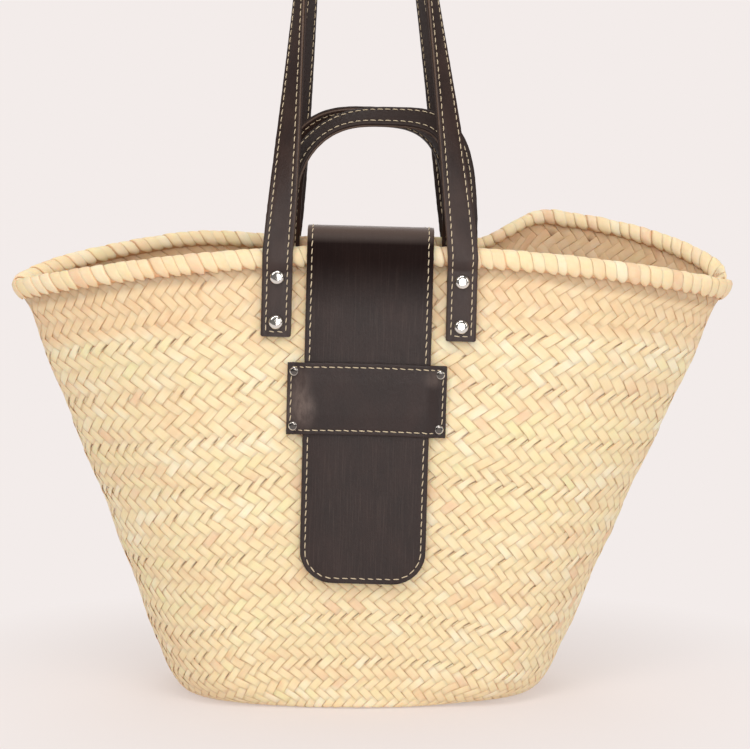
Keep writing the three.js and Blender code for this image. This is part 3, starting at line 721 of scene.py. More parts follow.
REAR_TOP = float(rim_top(np.float64(0), 1))
FRONT_UPPER = WallFrame(False, middle_point(False, CREASE_HEIGHT), middle_point(False, RIM_HEIGHT))
REAR_UPPER = WallFrame(True, middle_point(True, CREASE_HEIGHT), middle_point(True, REAR_TOP))
LOWER_TOP = middle_point(False, 0.0) + (
    middle_point(False, CREASE_HEIGHT) - middle_point(False, 0.0)
) * RIM_HEIGHT / CREASE_HEIGHT
FRONT_LOWER = WallFrame(False, middle_point(False, 0.0), LOWER_TOP)


def rim_above(wall_frame, along, width):
    """How far the rim's top lies above a frame's x axis, at the lower edge of a band."""
    heights = []
    for side in (-1, 1):
        p = wall_frame.at([along + side * width / 2, 0, 0])
        heights.append(float(rim_top(p[0] - centre_x(RIM_HEIGHT), wall_frame.rear)) - p[2])
    return min(heights)


def end_line(end_drop, rim_shift):
    """The riveted end of a strap in side view, as out and up."""
    foot = -BINDING_HEIGHT + rim_shift - BINDING_BEND / 4
    ups = np.concatenate([
        np.arange(-end_drop, foot, 2.5), np.linspace(foot, foot + BINDING_BEND, 7),
        [-HINGE_DROP - CLEARANCE / 2],
    ])
    outs = CLEARANCE + (STRAP_OVER_RIM - CLEARANCE) * smooth(ups, foot, foot + BINDING_BEND)
    return np.stack([outs, ups], -1)


# Straps

class Band:
    """Stations along a band of leather, each with a place, a direction across and one outwards."""

    def __init__(self, place, across, out):
        self.place, self.across, self.out = place, across, out
        self.reached = run_lengths(place)
        self.length = self.reached[-1]

    def at(self, distance):
        tables = (self.place, self.across, self.out)
        place, across, out = (looked_up(distance, self.reached, table) for table in tables)
        return place, unit(across), unit(out)

    def even(self, step):
        return Band(*self.at(np.linspace(0, self.length, int(self.length / step) + 1)))


def long_loop_point(t, loop):
    """A point of two straight legs under a round top, as across and up from the hinge."""
    side = -1.0 if t < 0.5 else 1.0
    top = loop["top_half"]
    legs = loop["rise"] + HINGE_DROP - top
    arc = math.pi / 2 * top
    along = abs(t - 0.5) * 2 * (legs + arc)
    if along < arc:
        return side * top * math.sin(along / top), legs + top * math.cos(along / top)
    down = min(1.0, (along - arc) / legs)
    spread = (STRAP_HALF_SPACING - top) * down ** loop["leg_curve"]
    return side * (top + spread), legs * (1 - down)


def short_loop_point(t, loop):
    """A point of a squarish arch, as across and up from the hinge."""
    a = math.pi * (1 - t)
    power = 2 / loop["squareness"]
    x = math.copysign(abs(math.cos(a)) ** power, math.cos(a))
    return STRAP_HALF_SPACING * x, (loop["rise"] + HINGE_DROP) * max(0.0, math.sin(a)) ** power


# Each handle's frame, whether it is inside the wall, the form of its loop and its measures
HANDLES = {
    "front_long_handle": (FRONT_UPPER, False, long_loop_point, {**LONG_LOOP, **LONG_FRONT}),
    "rear_long_handle": (REAR_UPPER, False, long_loop_point, {**LONG_LOOP, **LONG_REAR}),
    "front_short_handle": (FRONT_UPPER, True, short_loop_point, {**SHORT_LOOP, **SHORT_FRONT}),
    "rear_short_handle": (REAR_UPPER, True, short_loop_point, {**SHORT_LOOP, **SHORT_REAR}),
}


def handle_band(wall_frame, inside, point_at, loop):
    """The whole strap of one handle, from one riveted end over the loop to the other."""

    def outwards(out):
        return -WALL - out if inside else out

    total = loop["rise"] + HINGE_DROP
    path = []
    for i in range(LOOP_STEPS + 1):
        x, y = point_at(i / LOOP_STEPS, loop)
        up = max(0.0, y / total)
        leant = loop["lean_in"] * up * up * (1 + LEAN_START) / (up + LEAN_START)
        x += loop["drift"] * up ** loop["drift_curve"]
        path.append([x, y - HINGE_DROP + CLEARANCE, outwards(STRAP_OVER_RIM) - leant])
    ends = []
    for along in (-STRAP_HALF_SPACING, STRAP_HALF_SPACING):
        line = end_line(STRAP_END_DROP, rim_above(wall_frame, along, STRAP_WIDTH))
        ends.append([[along, up, outwards(out)] for out, up in line])
    place = np.array(ends[0] + path + ends[1][::-1])
    tangent = unit(np.gradient(place, axis=0))
    flat = squared_off(np.array([0, 0, -1.0 if inside else 1.0]), tangent)
    round_out = squared_off(-np.cross(tangent, np.array([0, 0, 1.0])), tangent)
    up = np.clip((place[:, 1] + HINGE_DROP - CLEARANCE) / total, 0, 1)
    rate = loop["turn_rate"]
    side = 2 * np.clip((np.arange(len(place)) - len(ends[0])) / LOOP_STEPS, 0, 1) - 1
    turned = loop["twist"] * up * (1 + rate) / (up + rate) * (1 + loop["skew"] * side)
    angle = np.radians(turned)[:, None]
    out = unit(flat * np.cos(angle) + round_out * np.sin(angle))
    across = unit(np.cross(out, tangent))
    band = Band(wall_frame.at(place), wall_frame.turned(across), wall_frame.turned(out))
    return band.even(STATION_STEP)


def band_section(half, low, high, facing_up):
    """Across and lift of one layer's section, pressed in where it is stitched."""
    r = 0.35
    inset = half - STITCH_INSET
    shown = [
        (half - r, 0.0), (inset + 1.1, 0.06), (inset, -0.22), (inset - 1.3, 0.08), (inset * 0.5, 0.16),
        (0.0, 0.18),
    ]
    top = shown + [(-x, z) for x, z in shown[-2::-1]]
    outline = [(half, high - low - r)] + [(x, high - low + z) for x, z in top]
    outline += [(-half, high - low - r), (-half, r), (-half + r, 0.0), (half - r, 0.0), (half, r)]
    points = np.array(outline)
    if not facing_up:
        points = (points * np.array([1, -1]) + np.array([0, high - low]))[::-1]
    return points[:, 0], points[:, 1] + low


def band_shape(band, half, low, high, facing_up, widths, rng):
    """One layer of leather along a band, with slightly ragged edges."""
    across, lift = band_section(half, low, high, facing_up)
    stations = len(band.place)
    rough = np.zeros((stations, len(across)))
    edge = np.abs(across) > half - 0.5
    rough[:, edge] = rng.normal(0, 0.07, (stations, 1)) * np.sign(across[edge])
    wide = across * widths[:, None] + rough
    place, sideways, out = (table[:, None] for table in (band.place, band.across, band.out))
    points = place + sideways * wide[..., None] + out * lift[:, None]
    uv = together(wide, band.reached[:, None])
    return tube_faces(1, stations, len(across), flipped=True), points, uv


# The lining and facing: name, lowest and highest lift, and whether its finished side faces outwards
LAYERS = (("lining", 0.0, LEATHER + 0.1, False), ("facing", LEATHER + 0.2, STRAP_THICKNESS, True))

# Lift and direction of the stitches on the two sides of a band
BAND_SIDES = ((STRAP_THICKNESS + STITCH_LIFT, 1.0), (-STITCH_LIFT, -1.0))


def make_band(name, nodes, band, half, widths, facing, runs, hang, materials, rng):
    """A strap or the flap: its two layers in place of the frame's nodes, and its stitches."""
    for layer, low, high, facing_up in LAYERS:
        shape = band_shape(band, half, low, high, facing_up, widths, rng)
        slot = "leather" if facing_up else "leather_lining"
        material = materials[facing if facing_up else slot]
        piece = make_piece(f"{name}_{layer}", shape, material, sharp=50)
        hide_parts(*[f"{name}_{node}_{layer}" for node in nodes])
        hang(piece)
    shapes = [shape for lift, sign in BAND_SIDES for shape in runs(band, lift, sign, rng)]
    hang(make_piece(f"{name}_stitches", join(shapes), materials["thread"]))


def stitches(places, alongs, outs, length, rng):
    """Short rounded stitches at places, each lying along a direction on a surface facing out."""
    alongs = unit(alongs)
    outs = squared_off(outs, alongs)
    sides = np.cross(alongs, outs)
    turn = rng.normal(0.1, 0.05, len(places))[:, None]
    cos, sin = np.cos(turn), np.sin(turn)
    alongs, sides = alongs * cos + sides * sin, sides * cos - alongs * sin
    places, alongs, outs, sides = (table[:, None, None] for table in (places, alongs, outs, sides))
    t = np.array([-1, -0.9, -0.5, 0, 0.5, 0.9, 1])[:, None]
    radius = np.array([0.35, 0.75, 1, 1.02, 1, 0.75, 0.35])[:, None, None] * THREAD_RADIUS
    sink = np.array([-0.75, -0.3, 0.05, 0.15, 0.05, -0.3, -0.75])[:, None, None] * THREAD_RADIUS
    angle = np.arange(6) / 6 * 2 * math.pi
    reach = (length / 2 * rng.uniform(0.94, 1.05, len(places)))[:, None, None, None]
    centre = places + alongs * reach * t[..., None] + outs * sink
    ring = sides * (np.cos(angle)[:, None] * radius) + outs * (np.sin(angle)[:, None] * radius * 0.85)
    points = centre + ring
    uv = together(angle, t * length / 2, points[..., 0])[..., :2]
    return tube_faces(len(places), len(t), len(angle)), points, uv


def run_stitches(line, outs, rng, pitch=STITCH_PITCH):
    """Stitches at an even pitch along a line, which has one outward direction or one at each point."""
    reached = run_lengths(line)
    outs = np.broadcast_to(outs, line.shape)
    count = max(1, round(reached[-1] / pitch))
    middles = (np.arange(count) + 0.5) * reached[-1] / count
    length = reached[-1] / count * STITCH_SHARE
    half = length * 0.4
    alongs = looked_up(middles + half, reached, line) - looked_up(middles - half, reached, line)
    places, faced = (looked_up(middles, reached, table) for table in (line, outs))
    return stitches(places, alongs, faced, length, rng)


def strap_stitches(band, lift, sign, rng):
    """The stitched border of a strap: both long edges and across both ends."""
    inset = STRAP_WIDTH / 2 - STITCH_INSET
    place, across, out = band.at(np.linspace(STITCH_INSET, band.length - STITCH_INSET, 400))
    surface = place + out * lift
    runs = [run_stitches(surface + across * side * inset, out * sign, rng) for side in (-1, 1)]
    for end in (0, -1):
        line = surface[end] + across[end] * np.linspace(-inset + 1.5, inset - 1.5, 5)[:, None]
        runs.append(run_stitches(line, out[end] * sign, rng))
    return runs


def strap_widths(band):
    """Share of the full width at each station, for slightly rounded ends."""
    from_end = np.minimum(band.reached, band.length - band.reached)
    short = np.clip(STRAP_CORNER - from_end, 0, STRAP_CORNER)
    missing = STRAP_CORNER - np.sqrt(np.clip(STRAP_CORNER ** 2 - short ** 2, 0, None))
    return 1 - missing / (STRAP_WIDTH / 2)


def with_ends(band):
    """A band with extra stations close to both ends, where its corners are rounded."""
    close = np.array([0, 0.15, 0.5, 1.0, STRAP_CORNER])
    middle = band.reached[(band.reached > 1.7) & (band.reached < band.length - 1.7)]
    return Band(*band.at(np.concatenate([close, middle, band.length - close[::-1]])))


def make_handle(name, materials, rng):
    wall_frame, inside, *_ = HANDLES[name]
    band = with_ends(handle_band(*HANDLES[name]))
    out = -WALL - STRAP_OVER_RIM if inside else STRAP_OVER_RIM
    low = wall_frame.at([0, -HINGE_DROP - STRAP_BEND["below"], out]) * MM
    high = wall_frame.at([0, -HINGE_DROP + STRAP_BEND["above"], out]) * MM

    def hang(piece):
        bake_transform(piece)

    nodes = ("left_end", "right_end", "loop")
    make_band(name, nodes, band, STRAP_WIDTH / 2, strap_widths(band), "leather", strap_stitches, hang,
              materials, rng)


# Rivets

# Place of the outer cap's crown in a rivet's profile, counted from the inner one
CROWN_STEP = 25


def cap_profile(size, foot):
    """Half of a rivet: a domed cap with a rolled edge, from its edge up to its crown."""
    cap, dome = size["cap"], size["dome"]
    roll = 0.75
    profile = [(cap * share, foot + up) for share, up in ((0.8, 0), (0.97, 0.12), (1, 0.45), (0.975, roll))]
    for share in (0.95, 0.91, 0.86, 0.8, 0.72, 0.6, 0.4, 0.01):
        profile.append((cap * share, foot + roll + (dome - roll) * (1 - share ** 6)))
    return profile


def make_rivet(name, wall_frame, x, y, size, outer, inner, material):
    """A rivet as a profile turned about its axis, from the crown of one cap to that of the other."""
    lower = [(r, -z) for r, z in cap_profile(size, -inner)][::-1]
    shank = size["cap"] * 0.36
    profile = lower + [(shank, inner), (shank, outer)] + cap_profile(size, outer)
    angle = np.arange(32) / 32 * 2 * math.pi
    radius, height = np.array(profile).T[..., None]
    points = together(radius * np.cos(angle), radius * np.sin(angle), height) + np.array([x, y, 0])
    uv = together(angle * 3, np.arange(len(profile))[:, None])
    shape = tube_faces(1, len(profile), len(angle)), wall_frame.at(points), uv
    piece = make_piece(f"{name}_caps", shape, material, sharp=60)
    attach(piece, "basket")
    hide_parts(name)


def make_rivets(material, small_material):
    strap_outer = CLEARANCE + STRAP_THICKNESS + CLEARANCE
    keeper_outer = CLEARANCE + KEEPER_LEATHER + CLEARANCE
    inner = -WALL - CLEARANCE
    ends = (("left", -1), ("right", 1))
    for side, wall_frame, turn in (("front", FRONT_UPPER, 1), ("rear", REAR_UPPER, -1)):
        for end, sign in ends:
            for row, drop in (("upper", UPPER_RIVET_DROP), ("lower", UPPER_RIVET_DROP + RIVET_SPACING)):
                name = f"{side}_{end}_{row}_rivet"
                x = sign * turn * STRAP_HALF_SPACING
                make_rivet(name, wall_frame, x, -drop, RIVET, strap_outer, -WALL - strap_outer, material)
    for row, up in (("upper", 1), ("lower", -1)):
        y = KEEPER_MIDDLE + up * (KEEPER_HEIGHT / 2 - KEEPER_RIVET["inset_up"])
        for end, sign in ends:
            name = f"keeper_{row}_{end}_rivet"
            x = sign * (KEEPER_WIDTH / 2 - KEEPER_RIVET["inset_across"])
            make_rivet(name, FRONT_LOWER, x, y, KEEPER_RIVET, keeper_outer, inner, small_material)
    for place, steps in (("right", -1), ("middle", 0), ("left", 1)):
        name = f"flap_tail_{place}_rivet"
        x = steps * FLAP_RIVET["spacing"]
        make_rivet(name, REAR_UPPER, x, -FLAP_RIVET["drop"], FLAP_RIVET, strap_outer, inner, material)


# Keeper and flap

def keeper_out(x):
    """How far the keeper's wall side stands off the wall at a place along it."""
    raised = CLEARANCE + STRAP_THICKNESS + CLEARANCE
    top = FLAP_WIDTH / 2 + KEEPER_SLACK
    return raised + (CLEARANCE - raised) * smooth(np.abs(x), top - 0.5, top + KEEPER_STEP + 1.5)


def keeper_point(x, y, lift, ragged=0.0):
    """A point of the keeper, whose long edges arch upwards a little."""
    arch = KEEPER_ARCH * (1 - (x / (KEEPER_WIDTH / 2)) ** 2)
    return FRONT_LOWER.at(together(x + ragged, KEEPER_MIDDLE + y + arch + ragged, lift))


def keeper_spread(size):
    """Places across the keeper from edge to edge, close together at its edges and stitched lines."""
    line = KEEPER_BORDER
    near = np.array([0, 0.35, 1.2, line - 1.2, line - 0.5, line, line + 0.5, line + 1.3])
    side = np.concatenate([near, np.linspace(line + 3, size, 12)]) - size
    return np.concatenate([side, -side[-2::-1]])


def make_keeper(materials, rng):
    """The keeper as a sheet from edge to edge over its wall side, and the stitches round it."""
    half, tall = KEEPER_WIDTH / 2, KEEPER_HEIGHT / 2
    x, y = np.meshgrid(keeper_spread(half), keeper_spread(tall), indexing="xy")
    border = np.minimum(half - np.abs(x), tall - np.abs(y))
    pressed = KEEPER_RELIEF["press"] * np.exp(-((border - KEEPER_BORDER) / 0.7) ** 2)
    edge = 1 - np.sqrt(np.clip(1 - np.clip(1 - border / 0.6, 0, 1) ** 2, 0, 1))
    rounding = KEEPER_RELIEF["edge"] * edge
    pillow = KEEPER_RELIEF["pillow"] * smooth(border, 3, 16)
    wall_side = keeper_out(x)
    ragged = rng.normal(0, 0.06, x.shape) * (border < 0.1)
    top = wall_side + KEEPER_LEATHER + pillow - pressed - rounding
    points = [keeper_point(x, y, lift, ragged) for lift in (top, wall_side + 0.25 * rounding)]
    index = np.arange(x.size).reshape(x.shape)
    sheet = np.stack([index[:-1, :-1], index[:-1, 1:], index[1:, 1:], index[1:, :-1]], -1).reshape(-1, 4)
    loop = np.concatenate([index[0, :-1], index[:-1, -1], index[-1, :0:-1], index[:0:-1, 0]])
    after = np.roll(loop, -1)
    rim = np.stack([loop, loop + x.size, after + x.size, after], -1)
    faces = [sheet, sheet[:, ::-1] + x.size, rim]
    flat = np.stack([x, y], -1)
    shape = faces, np.stack(points), np.stack([flat, flat])
    piece = make_piece("keeper_band", shape, materials["leather_keeper"], sharp=50)
    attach(piece, "basket")
    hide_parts("keeper")
    left, low = half - KEEPER_RIVET["inset_across"] + 2.0, tall - KEEPER_BORDER
    corners = [(-left, low), (left, low), (left, -low), (-left, -low), (-left, low)]
    runs = []
    for (x0, y0), (x1, y1) in zip(corners, corners[1:]):
        t = np.linspace(0, 1, 60)
        along = x0 + (x1 - x0) * t
        line = keeper_point(along, y0 + (y1 - y0) * t, keeper_out(along) + KEEPER_LEATHER + STITCH_LIFT)
        runs.append(run_stitches(line, FRONT_LOWER.axes[2], rng))
    piece = make_piece("keeper_stitches", join(runs), materials["thread"])
    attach(piece, "basket")


def flap_band():
    """Stations of the flap from the tongue's tip up the front, over the mouth and down the back."""
    tail = end_line(FLAP_TAIL_DROP, rim_above(REAR_UPPER, 0, FLAP_WIDTH))[::-1]
    tail_points = REAR_UPPER.at(together(0.0, tail[:, 1], tail[:, 0]))
    end, above = (
        FRONT_LOWER.inside(REAR_UPPER.at([0, -HINGE_DROP + up, STRAP_OVER_RIM + back]))
        for up, back in ((CLEARANCE / 2, 0.0), (FLAP_REAR["rise"], FLAP_REAR["back"]))
    )
    fold_up = FLAP_OVER_RIM - FLAP_FOLD
    below = np.arange(TONGUE_TIP, -FLAP_BELOW_RIM, 3.0)
    ups = np.concatenate([below, np.arange(-FLAP_BELOW_RIM, fold_up, 2.0)])
    turn = np.linspace(0, math.pi / 2, 9)
    fold = np.stack([CLEARANCE - FLAP_FOLD * (1 - np.cos(turn)), fold_up + FLAP_FOLD * np.sin(turn)], -1)
    handles = np.array([
        [CLEARANCE - FLAP_FOLD, FLAP_OVER_RIM],
        [CLEARANCE - FLAP_FOLD - FLAP_CROWN["reach"], FLAP_OVER_RIM + FLAP_CROWN["rise"]],
        [above[2], above[1]], [end[2], end[1]],
    ])
    t = np.linspace(0, 1, 40)[1:, None]
    over = (
        (1 - t) ** 3 * handles[0] + 3 * (1 - t) ** 2 * t * handles[1]
        + 3 * (1 - t) * t ** 2 * handles[2] + t ** 3 * handles[3]
    )
    line = np.concatenate([together(CLEARANCE, ups), fold, over])
    points = np.concatenate([FRONT_LOWER.at(together(0.0, line[:, 1], line[:, 0])), tail_points])
    across = np.repeat(FRONT_LOWER.axes[:1], len(points), axis=0)
    out = unit(np.cross(across, unit(np.gradient(points, axis=0))))
    return Band(points, across, out).even(FLAP_STATION_STEP)


def flap_stitches(band, lift, sign, rng):
    """The flap's stitched border: its long edges, the corners and end of the tongue, and its tail."""
    inset = FLAP_WIDTH / 2 - STITCH_INSET
    corner = FLAP_CORNER - STITCH_INSET
    place, across, out = band.at(np.linspace(FLAP_CORNER, band.length - STITCH_INSET, 500))
    tip_place, tip_across, tip_out = band.at(np.array([FLAP_CORNER]))
    along = -unit(band.place[0] - tip_place[0])
    tip = tip_place + tip_out * lift
    turn = np.linspace(0, math.pi / 2, 24)[:, None]
    lines = []
    for side in (-1, 1):
        lines.append((place + out * lift + across * side * inset, out))
        bend = tip_across * side * (inset - corner + corner * np.cos(turn))
        lines.append((tip + bend - along * corner * np.sin(turn), tip_out))
    straight = np.linspace(-inset + corner, inset - corner, 12)[:, None]
    lines.append((tip - along * corner + tip_across * straight, tip_out))
    runs = [run_stitches(line, outs * sign, rng, FLAP_STITCH_PITCH) for line, outs in lines]
    tail = place[-1] + out[-1] * lift + across[-1] * np.linspace(-inset + 2, inset - 2, 12)[:, None]
    return runs + [run_stitches(tail, out[-1] * sign, rng)]


def make_flap(materials, rng):
    """The flap from the tongue's tip over the mouth to its tail, with rounded corners at the tip."""
    band = flap_band()
    close = FLAP_CORNER * (1 - np.cos(np.linspace(0, math.pi / 2, 12)))
    rest = band.reached[band.reached > FLAP_CORNER + 0.5]
    band = Band(*band.at(np.concatenate([close, rest])))
    half = FLAP_WIDTH / 2
    short = np.clip(FLAP_CORNER - band.reached, 0, FLAP_CORNER)
    widths = (half - FLAP_CORNER + np.sqrt(FLAP_CORNER ** 2 - short ** 2)) / half
    low_point = FRONT_LOWER.at([0, TONGUE_TOP, 0]) * MM
    high_point = FRONT_LOWER.at([0, FLAP_OVER_RIM, -FLAP_FOLD - FLAP_SLACK]) * MM

    def hang(piece):
        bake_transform(piece)

    nodes = ("tail", "bow", "tongue")
    make_band("flap", nodes, band, half, widths, "leather_flap", flap_stitches, hang, materials, rng)


# Materials

def rgba(colour):
    return (*[float(v) for v in colour], 1.0)


class Shader:
    """The nodes of a material or world, built step by step."""

    def __init__(self, owner):
        self.owner = owner
        owner.use_nodes = True
        self.tree = owner.node_tree

    def put(self, node, values):
        for key, value in values.items():
            if isinstance(value, bpy.types.NodeSocket):
                self.tree.links.new(value, node.inputs[key])
            else:
                node.inputs[key].default_value = value

    def add(self, kind, values, **settings):
        node = self.tree.nodes.new(kind)
        for key, value in settings.items():
            setattr(node, key, value)
        self.put(node, values)
        return node

    def uv(self):
        return self.add("ShaderNodeUVMap", {}, uv_map="UVMap").outputs["UV"]

    def vector(self, operation, *values):
        return self.add("ShaderNodeVectorMath", dict(enumerate(values)), operation=operation).outputs

    def stretched(self, vector, across, along, detail, roughness=0.6):
        """Noise whose scale differs across and along."""
        vector = self.vector("MULTIPLY", vector, (across, along, 1.0))["Vector"]
        return self.noise(vector, 1.0, detail, roughness)

    def noise(self, vector, scale, detail, roughness):
        return self.add("ShaderNodeTexNoise", {
            "Vector": vector, "Scale": scale, "Detail": detail, "Roughness": roughness,
        }).outputs["Fac"]

    def ranged(self, value, low, high, to_low, to_high, curve="LINEAR"):
        return self.add("ShaderNodeMapRange", {
            "Value": value, "From Min": low, "From Max": high, "To Min": to_low, "To Max": to_high,
        }, interpolation_type=curve).outputs["Result"]

    def maths(self, operation, first, second):
        return self.add("ShaderNodeMath", {0: first, 1: second}, operation=operation).outputs["Value"]

    def towards(self, colour, display, amount):
        """A colour mixed with another one, which is given as display values."""
        values = {"Factor": amount, 6: colour, 7: rgba(linear(*display))}
        return self.add("ShaderNodeMix", values, data_type="RGBA").outputs[2]

    def bump(self, height, strength, distance, **normal):
        values = {"Height": height, "Strength": strength, "Distance": distance, **normal}
        return self.add("ShaderNodeBump", values).outputs["Normal"]

    def surface(self, values):
        """Sets the material's own shader and gives the material."""
        self.put(self.tree.nodes["Principled BSDF"], values)
        return self.owner


def palm_material(name, shine):
    """Dried palm leaf: tinted by its leaf, with fine fibres along it and brown edges, partly the leaf's own
    colour and partly painted shade in the creases between leaves.
    """
    s = Shader(bpy.data.materials.new(name))
    tint = s.add("ShaderNodeAttribute", {}, attribute_name="tint")
    uv = s.uv()
    fibres = s.stretched(uv, 3.2, 0.05, 4.0)
    blotch = s.stretched(uv, 0.11, 0.09, 2.0, 0.5)
    colour = s.towards(tint.outputs["Color"], (220, 186, 136), s.ranged(fibres, 0.35, 0.75, 0.0, 0.26))
    colour = s.towards(colour, (252, 240, 210), s.ranged(blotch, 0.45, 0.8, 0.0, 0.3))
    # Brown edges: partly the leaf's own colour, partly painted shade in creases and at the ends of floats
    colour = s.towards(colour, (216, 156, 108), s.ranged(tint.outputs["Alpha"], 0.5, 0.95, 0.0, 0.56))
    return s.surface({
        "Base Color": colour, "Roughness": s.ranged(fibres, 0.3, 0.8, shine, shine + 0.16),
        "Normal": s.bump(fibres, 0.35, 0.0003), "Specular IOR Level": 0.32, "Subsurface Weight": 0.3,
        "Subsurface Radius": (1.0, 0.5, 0.25), "Subsurface Scale": 0.0012,
    })


def leather_material(name, base, light, half, clouds=(), streaks=0.0, fold=None, rough=0.46):
    """Dark leather with fine grain, soft blotches, long streaks, pale rubbed clouds and raw edges; on the
    flap, painted shade below its fold and a painted highlight over the fold.
    """
    s = Shader(bpy.data.materials.new(name))
    uv = s.uv()
    blotch = s.stretched(uv, 0.045, 0.03, 4.0)
    pores = s.add("ShaderNodeTexVoronoi", {"Vector": uv, "Scale": 1.5}, feature="DISTANCE_TO_EDGE")
    crease = s.stretched(uv, 0.55, 0.4, 5.0, 0.65)
    fine = s.noise(uv, 2.6, 3.0, 0.6)
    colour = s.towards(rgba(linear(*base)), light, s.ranged(blotch, 0.35, 0.75, 0.0, 0.55))
    if streaks:
        lines = s.stretched(uv, 0.9, 0.03, 3.0)
        colour = s.towards(colour, (100, 82, 74), s.ranged(lines, 0.5, 0.8, 0.0, streaks))
    for x, y, wide, tall, strength in clouds:
        away = s.vector("SUBTRACT", uv, (x, y, 0.0))["Vector"]
        away = s.vector("MULTIPLY", away, (1 / wide, 1 / tall, 0.0))["Vector"]
        away = s.vector("LENGTH", away)["Value"]
        wisps = s.ranged(s.stretched(uv, 0.3, 0.13, 4.0, 0.65), 0.32, 0.68, 0.35, 1.0)
        patch = s.maths("MULTIPLY", s.ranged(away, 0.0, 1.0, strength, 0.0, "SMOOTHSTEP"), wisps)
        colour = s.towards(colour, (142, 124, 115), patch)
    gloss = {"Specular IOR Level": 0.5, "Coat Weight": 0.0, "Sheen Weight": 0.0}
    across, along, _ = s.add("ShaderNodeSeparateXYZ", {"Vector": uv}).outputs
    if fold:
        # Painted shade on the flap just below its fold
        near = s.ranged(along, fold - 50.0, fold - 4.0, 0.0, 1.0, "SMOOTHSTEP")
        colour = s.towards(colour, (22, 15, 14), s.maths("MULTIPLY", near, 0.72))
        # Painted highlight over the flap's fold, fading out beyond it
        back = s.ranged(along, fold + 4.0, fold + 21.0, 0.0, 1.0)
        fades = s.ranged(along, fold + 21.0, fold + 75.0, 1.0, 0.0, "SMOOTHSTEP")
        back = s.maths("MULTIPLY", back, fades)
        colour = s.towards(colour, (128, 108, 98), s.maths("MULTIPLY", back, 0.7))
        gloss = {
            "Specular IOR Level": s.ranged(s.maths("SUBTRACT", near, back), 0.0, 1.0, 0.5, 0.04),
            "Coat Weight": s.maths("MULTIPLY", back, 0.2),
            "Sheen Weight": s.ranged(along, fold + 2.0, fold + 16.0, 0.0, 0.7),
        }
    rim = s.ranged(s.maths("ABSOLUTE", across, 0.0), half - 0.55, half - 0.1, 0.0, 0.45)
    colour = s.towards(colour, (112, 88, 70), rim)
    grain = s.ranged(pores.outputs["Distance"], 0.0, 0.18, 0.0, 1.0)
    normal = s.bump(grain, 0.22, 0.00012)
    normal = s.bump(crease, 0.4, 0.0004, Normal=normal)
    normal = s.bump(fine, 0.25, 0.0002, Normal=normal)
    return s.surface({
        "Base Color": colour, "Roughness": s.ranged(crease, 0.3, 0.75, rough - 0.07, rough + 0.12),
        "Normal": normal, **gloss, "Coat Roughness": 0.35, "Sheen Roughness": 0.3,
    })


def nickel_material(name, crown_dark_reflection=0.0):
    """Polished nickel; on the small rivets the crown is painted dark as a painted reflection of dark
    surroundings.
    """
    s = Shader(bpy.data.materials.new(name))
    uv = s.uv()
    scuffs = s.stretched(uv, 2.0, 9.0, 3.0)
    colour = rgba(linear(226, 222, 216))
    if crown_dark_reflection:
        # Painted dark reflection on the crown of the small rivets
        along = s.add("ShaderNodeSeparateXYZ", {"Vector": uv}).outputs["Y"]
        crown = s.ranged(along, CROWN_STEP - 4.5, CROWN_STEP - 2.5, 0.0, crown_dark_reflection)
        colour = s.towards(colour, (52, 44, 40), crown)
    roughness = s.ranged(scuffs, 0.4, 0.8, 0.07, 0.2)
    return s.surface({"Base Color": colour, "Metallic": 1.0, "Roughness": roughness})


def thread_material(name):
    """Waxed thread with its twist."""
    s = Shader(bpy.data.materials.new(name))
    values = {"Vector": s.uv(), "Scale": 0.55, "Distortion": 0.4}
    twist = s.add("ShaderNodeTexWave", values, bands_direction="DIAGONAL").outputs["Fac"]
    return s.surface({
        "Base Color": s.towards(rgba(linear(190, 170, 138)), (234, 218, 188), twist),
        "Roughness": 0.6, "Normal": s.bump(twist, 0.5, 0.0002), "Specular IOR Level": 0.3,
    })


def make_materials():
    charcoal = (34, 19, 16), (54, 34, 29)
    strap, flap, keeper = STRAP_WIDTH / 2, FLAP_WIDTH / 2, KEEPER_WIDTH / 2
    clouds = (
        (-45.0, -7.0, 14.0, 19.0, 0.55), (-46.0, 8.0, 11.0, 20.0, 0.3), (46.0, 16.0, 10.0, 9.0, 0.3),
    )
    fold = FLAP_OVER_RIM - FLAP_FOLD - TONGUE_TIP
    return {
        "palm": palm_material("palm_leaf", 0.56),
        "palm_rim": palm_material("palm_leaf_rim", 0.48),
        "leather": leather_material("charcoal_leather", (42, 27, 23), (72, 51, 43), strap, rough=0.42),
        "leather_flap": leather_material("charcoal_leather_flap", *charcoal, flap, (), 0.2, fold),
        "leather_keeper": leather_material("charcoal_leather_keeper", *charcoal, keeper, clouds),
        "leather_lining": leather_material(
            "charcoal_leather_lining", (38, 22, 17), (54, 34, 27), flap, rough=0.6,
        ),
        "nickel": nickel_material("polished_nickel"),
        "nickel_small": nickel_material("nickel_dark_crown_reflection", 0.85),
        "thread": thread_material("cream_thread"),
    }


# Floor, light and camera

BACKDROP = linear(243, 236, 234)
FLOOR_HALF = 6.0

# Place, power, size and colour of each lamp
LAMPS = {
    "key": ((-1.0, -1.5, 1.5), 8.0, 0.9, (1.0, 0.985, 0.965)),
    "fill": ((1.5, -1.3, 1.1), 7.0, 1.1, (1.0, 0.98, 0.96)),
    "flash": ((0.15, -1.62, 0.52), 4.6, 0.44, (1.0, 0.98, 0.96)),
    "overhead": ((0.0, -0.9, 1.7), 9.0, 0.8, (1.0, 0.97, 0.94)),
    "backdrop": ((0.0, 1.5, 1.6), 9.0, 1.4, (1.0, 0.97, 0.95)),
}


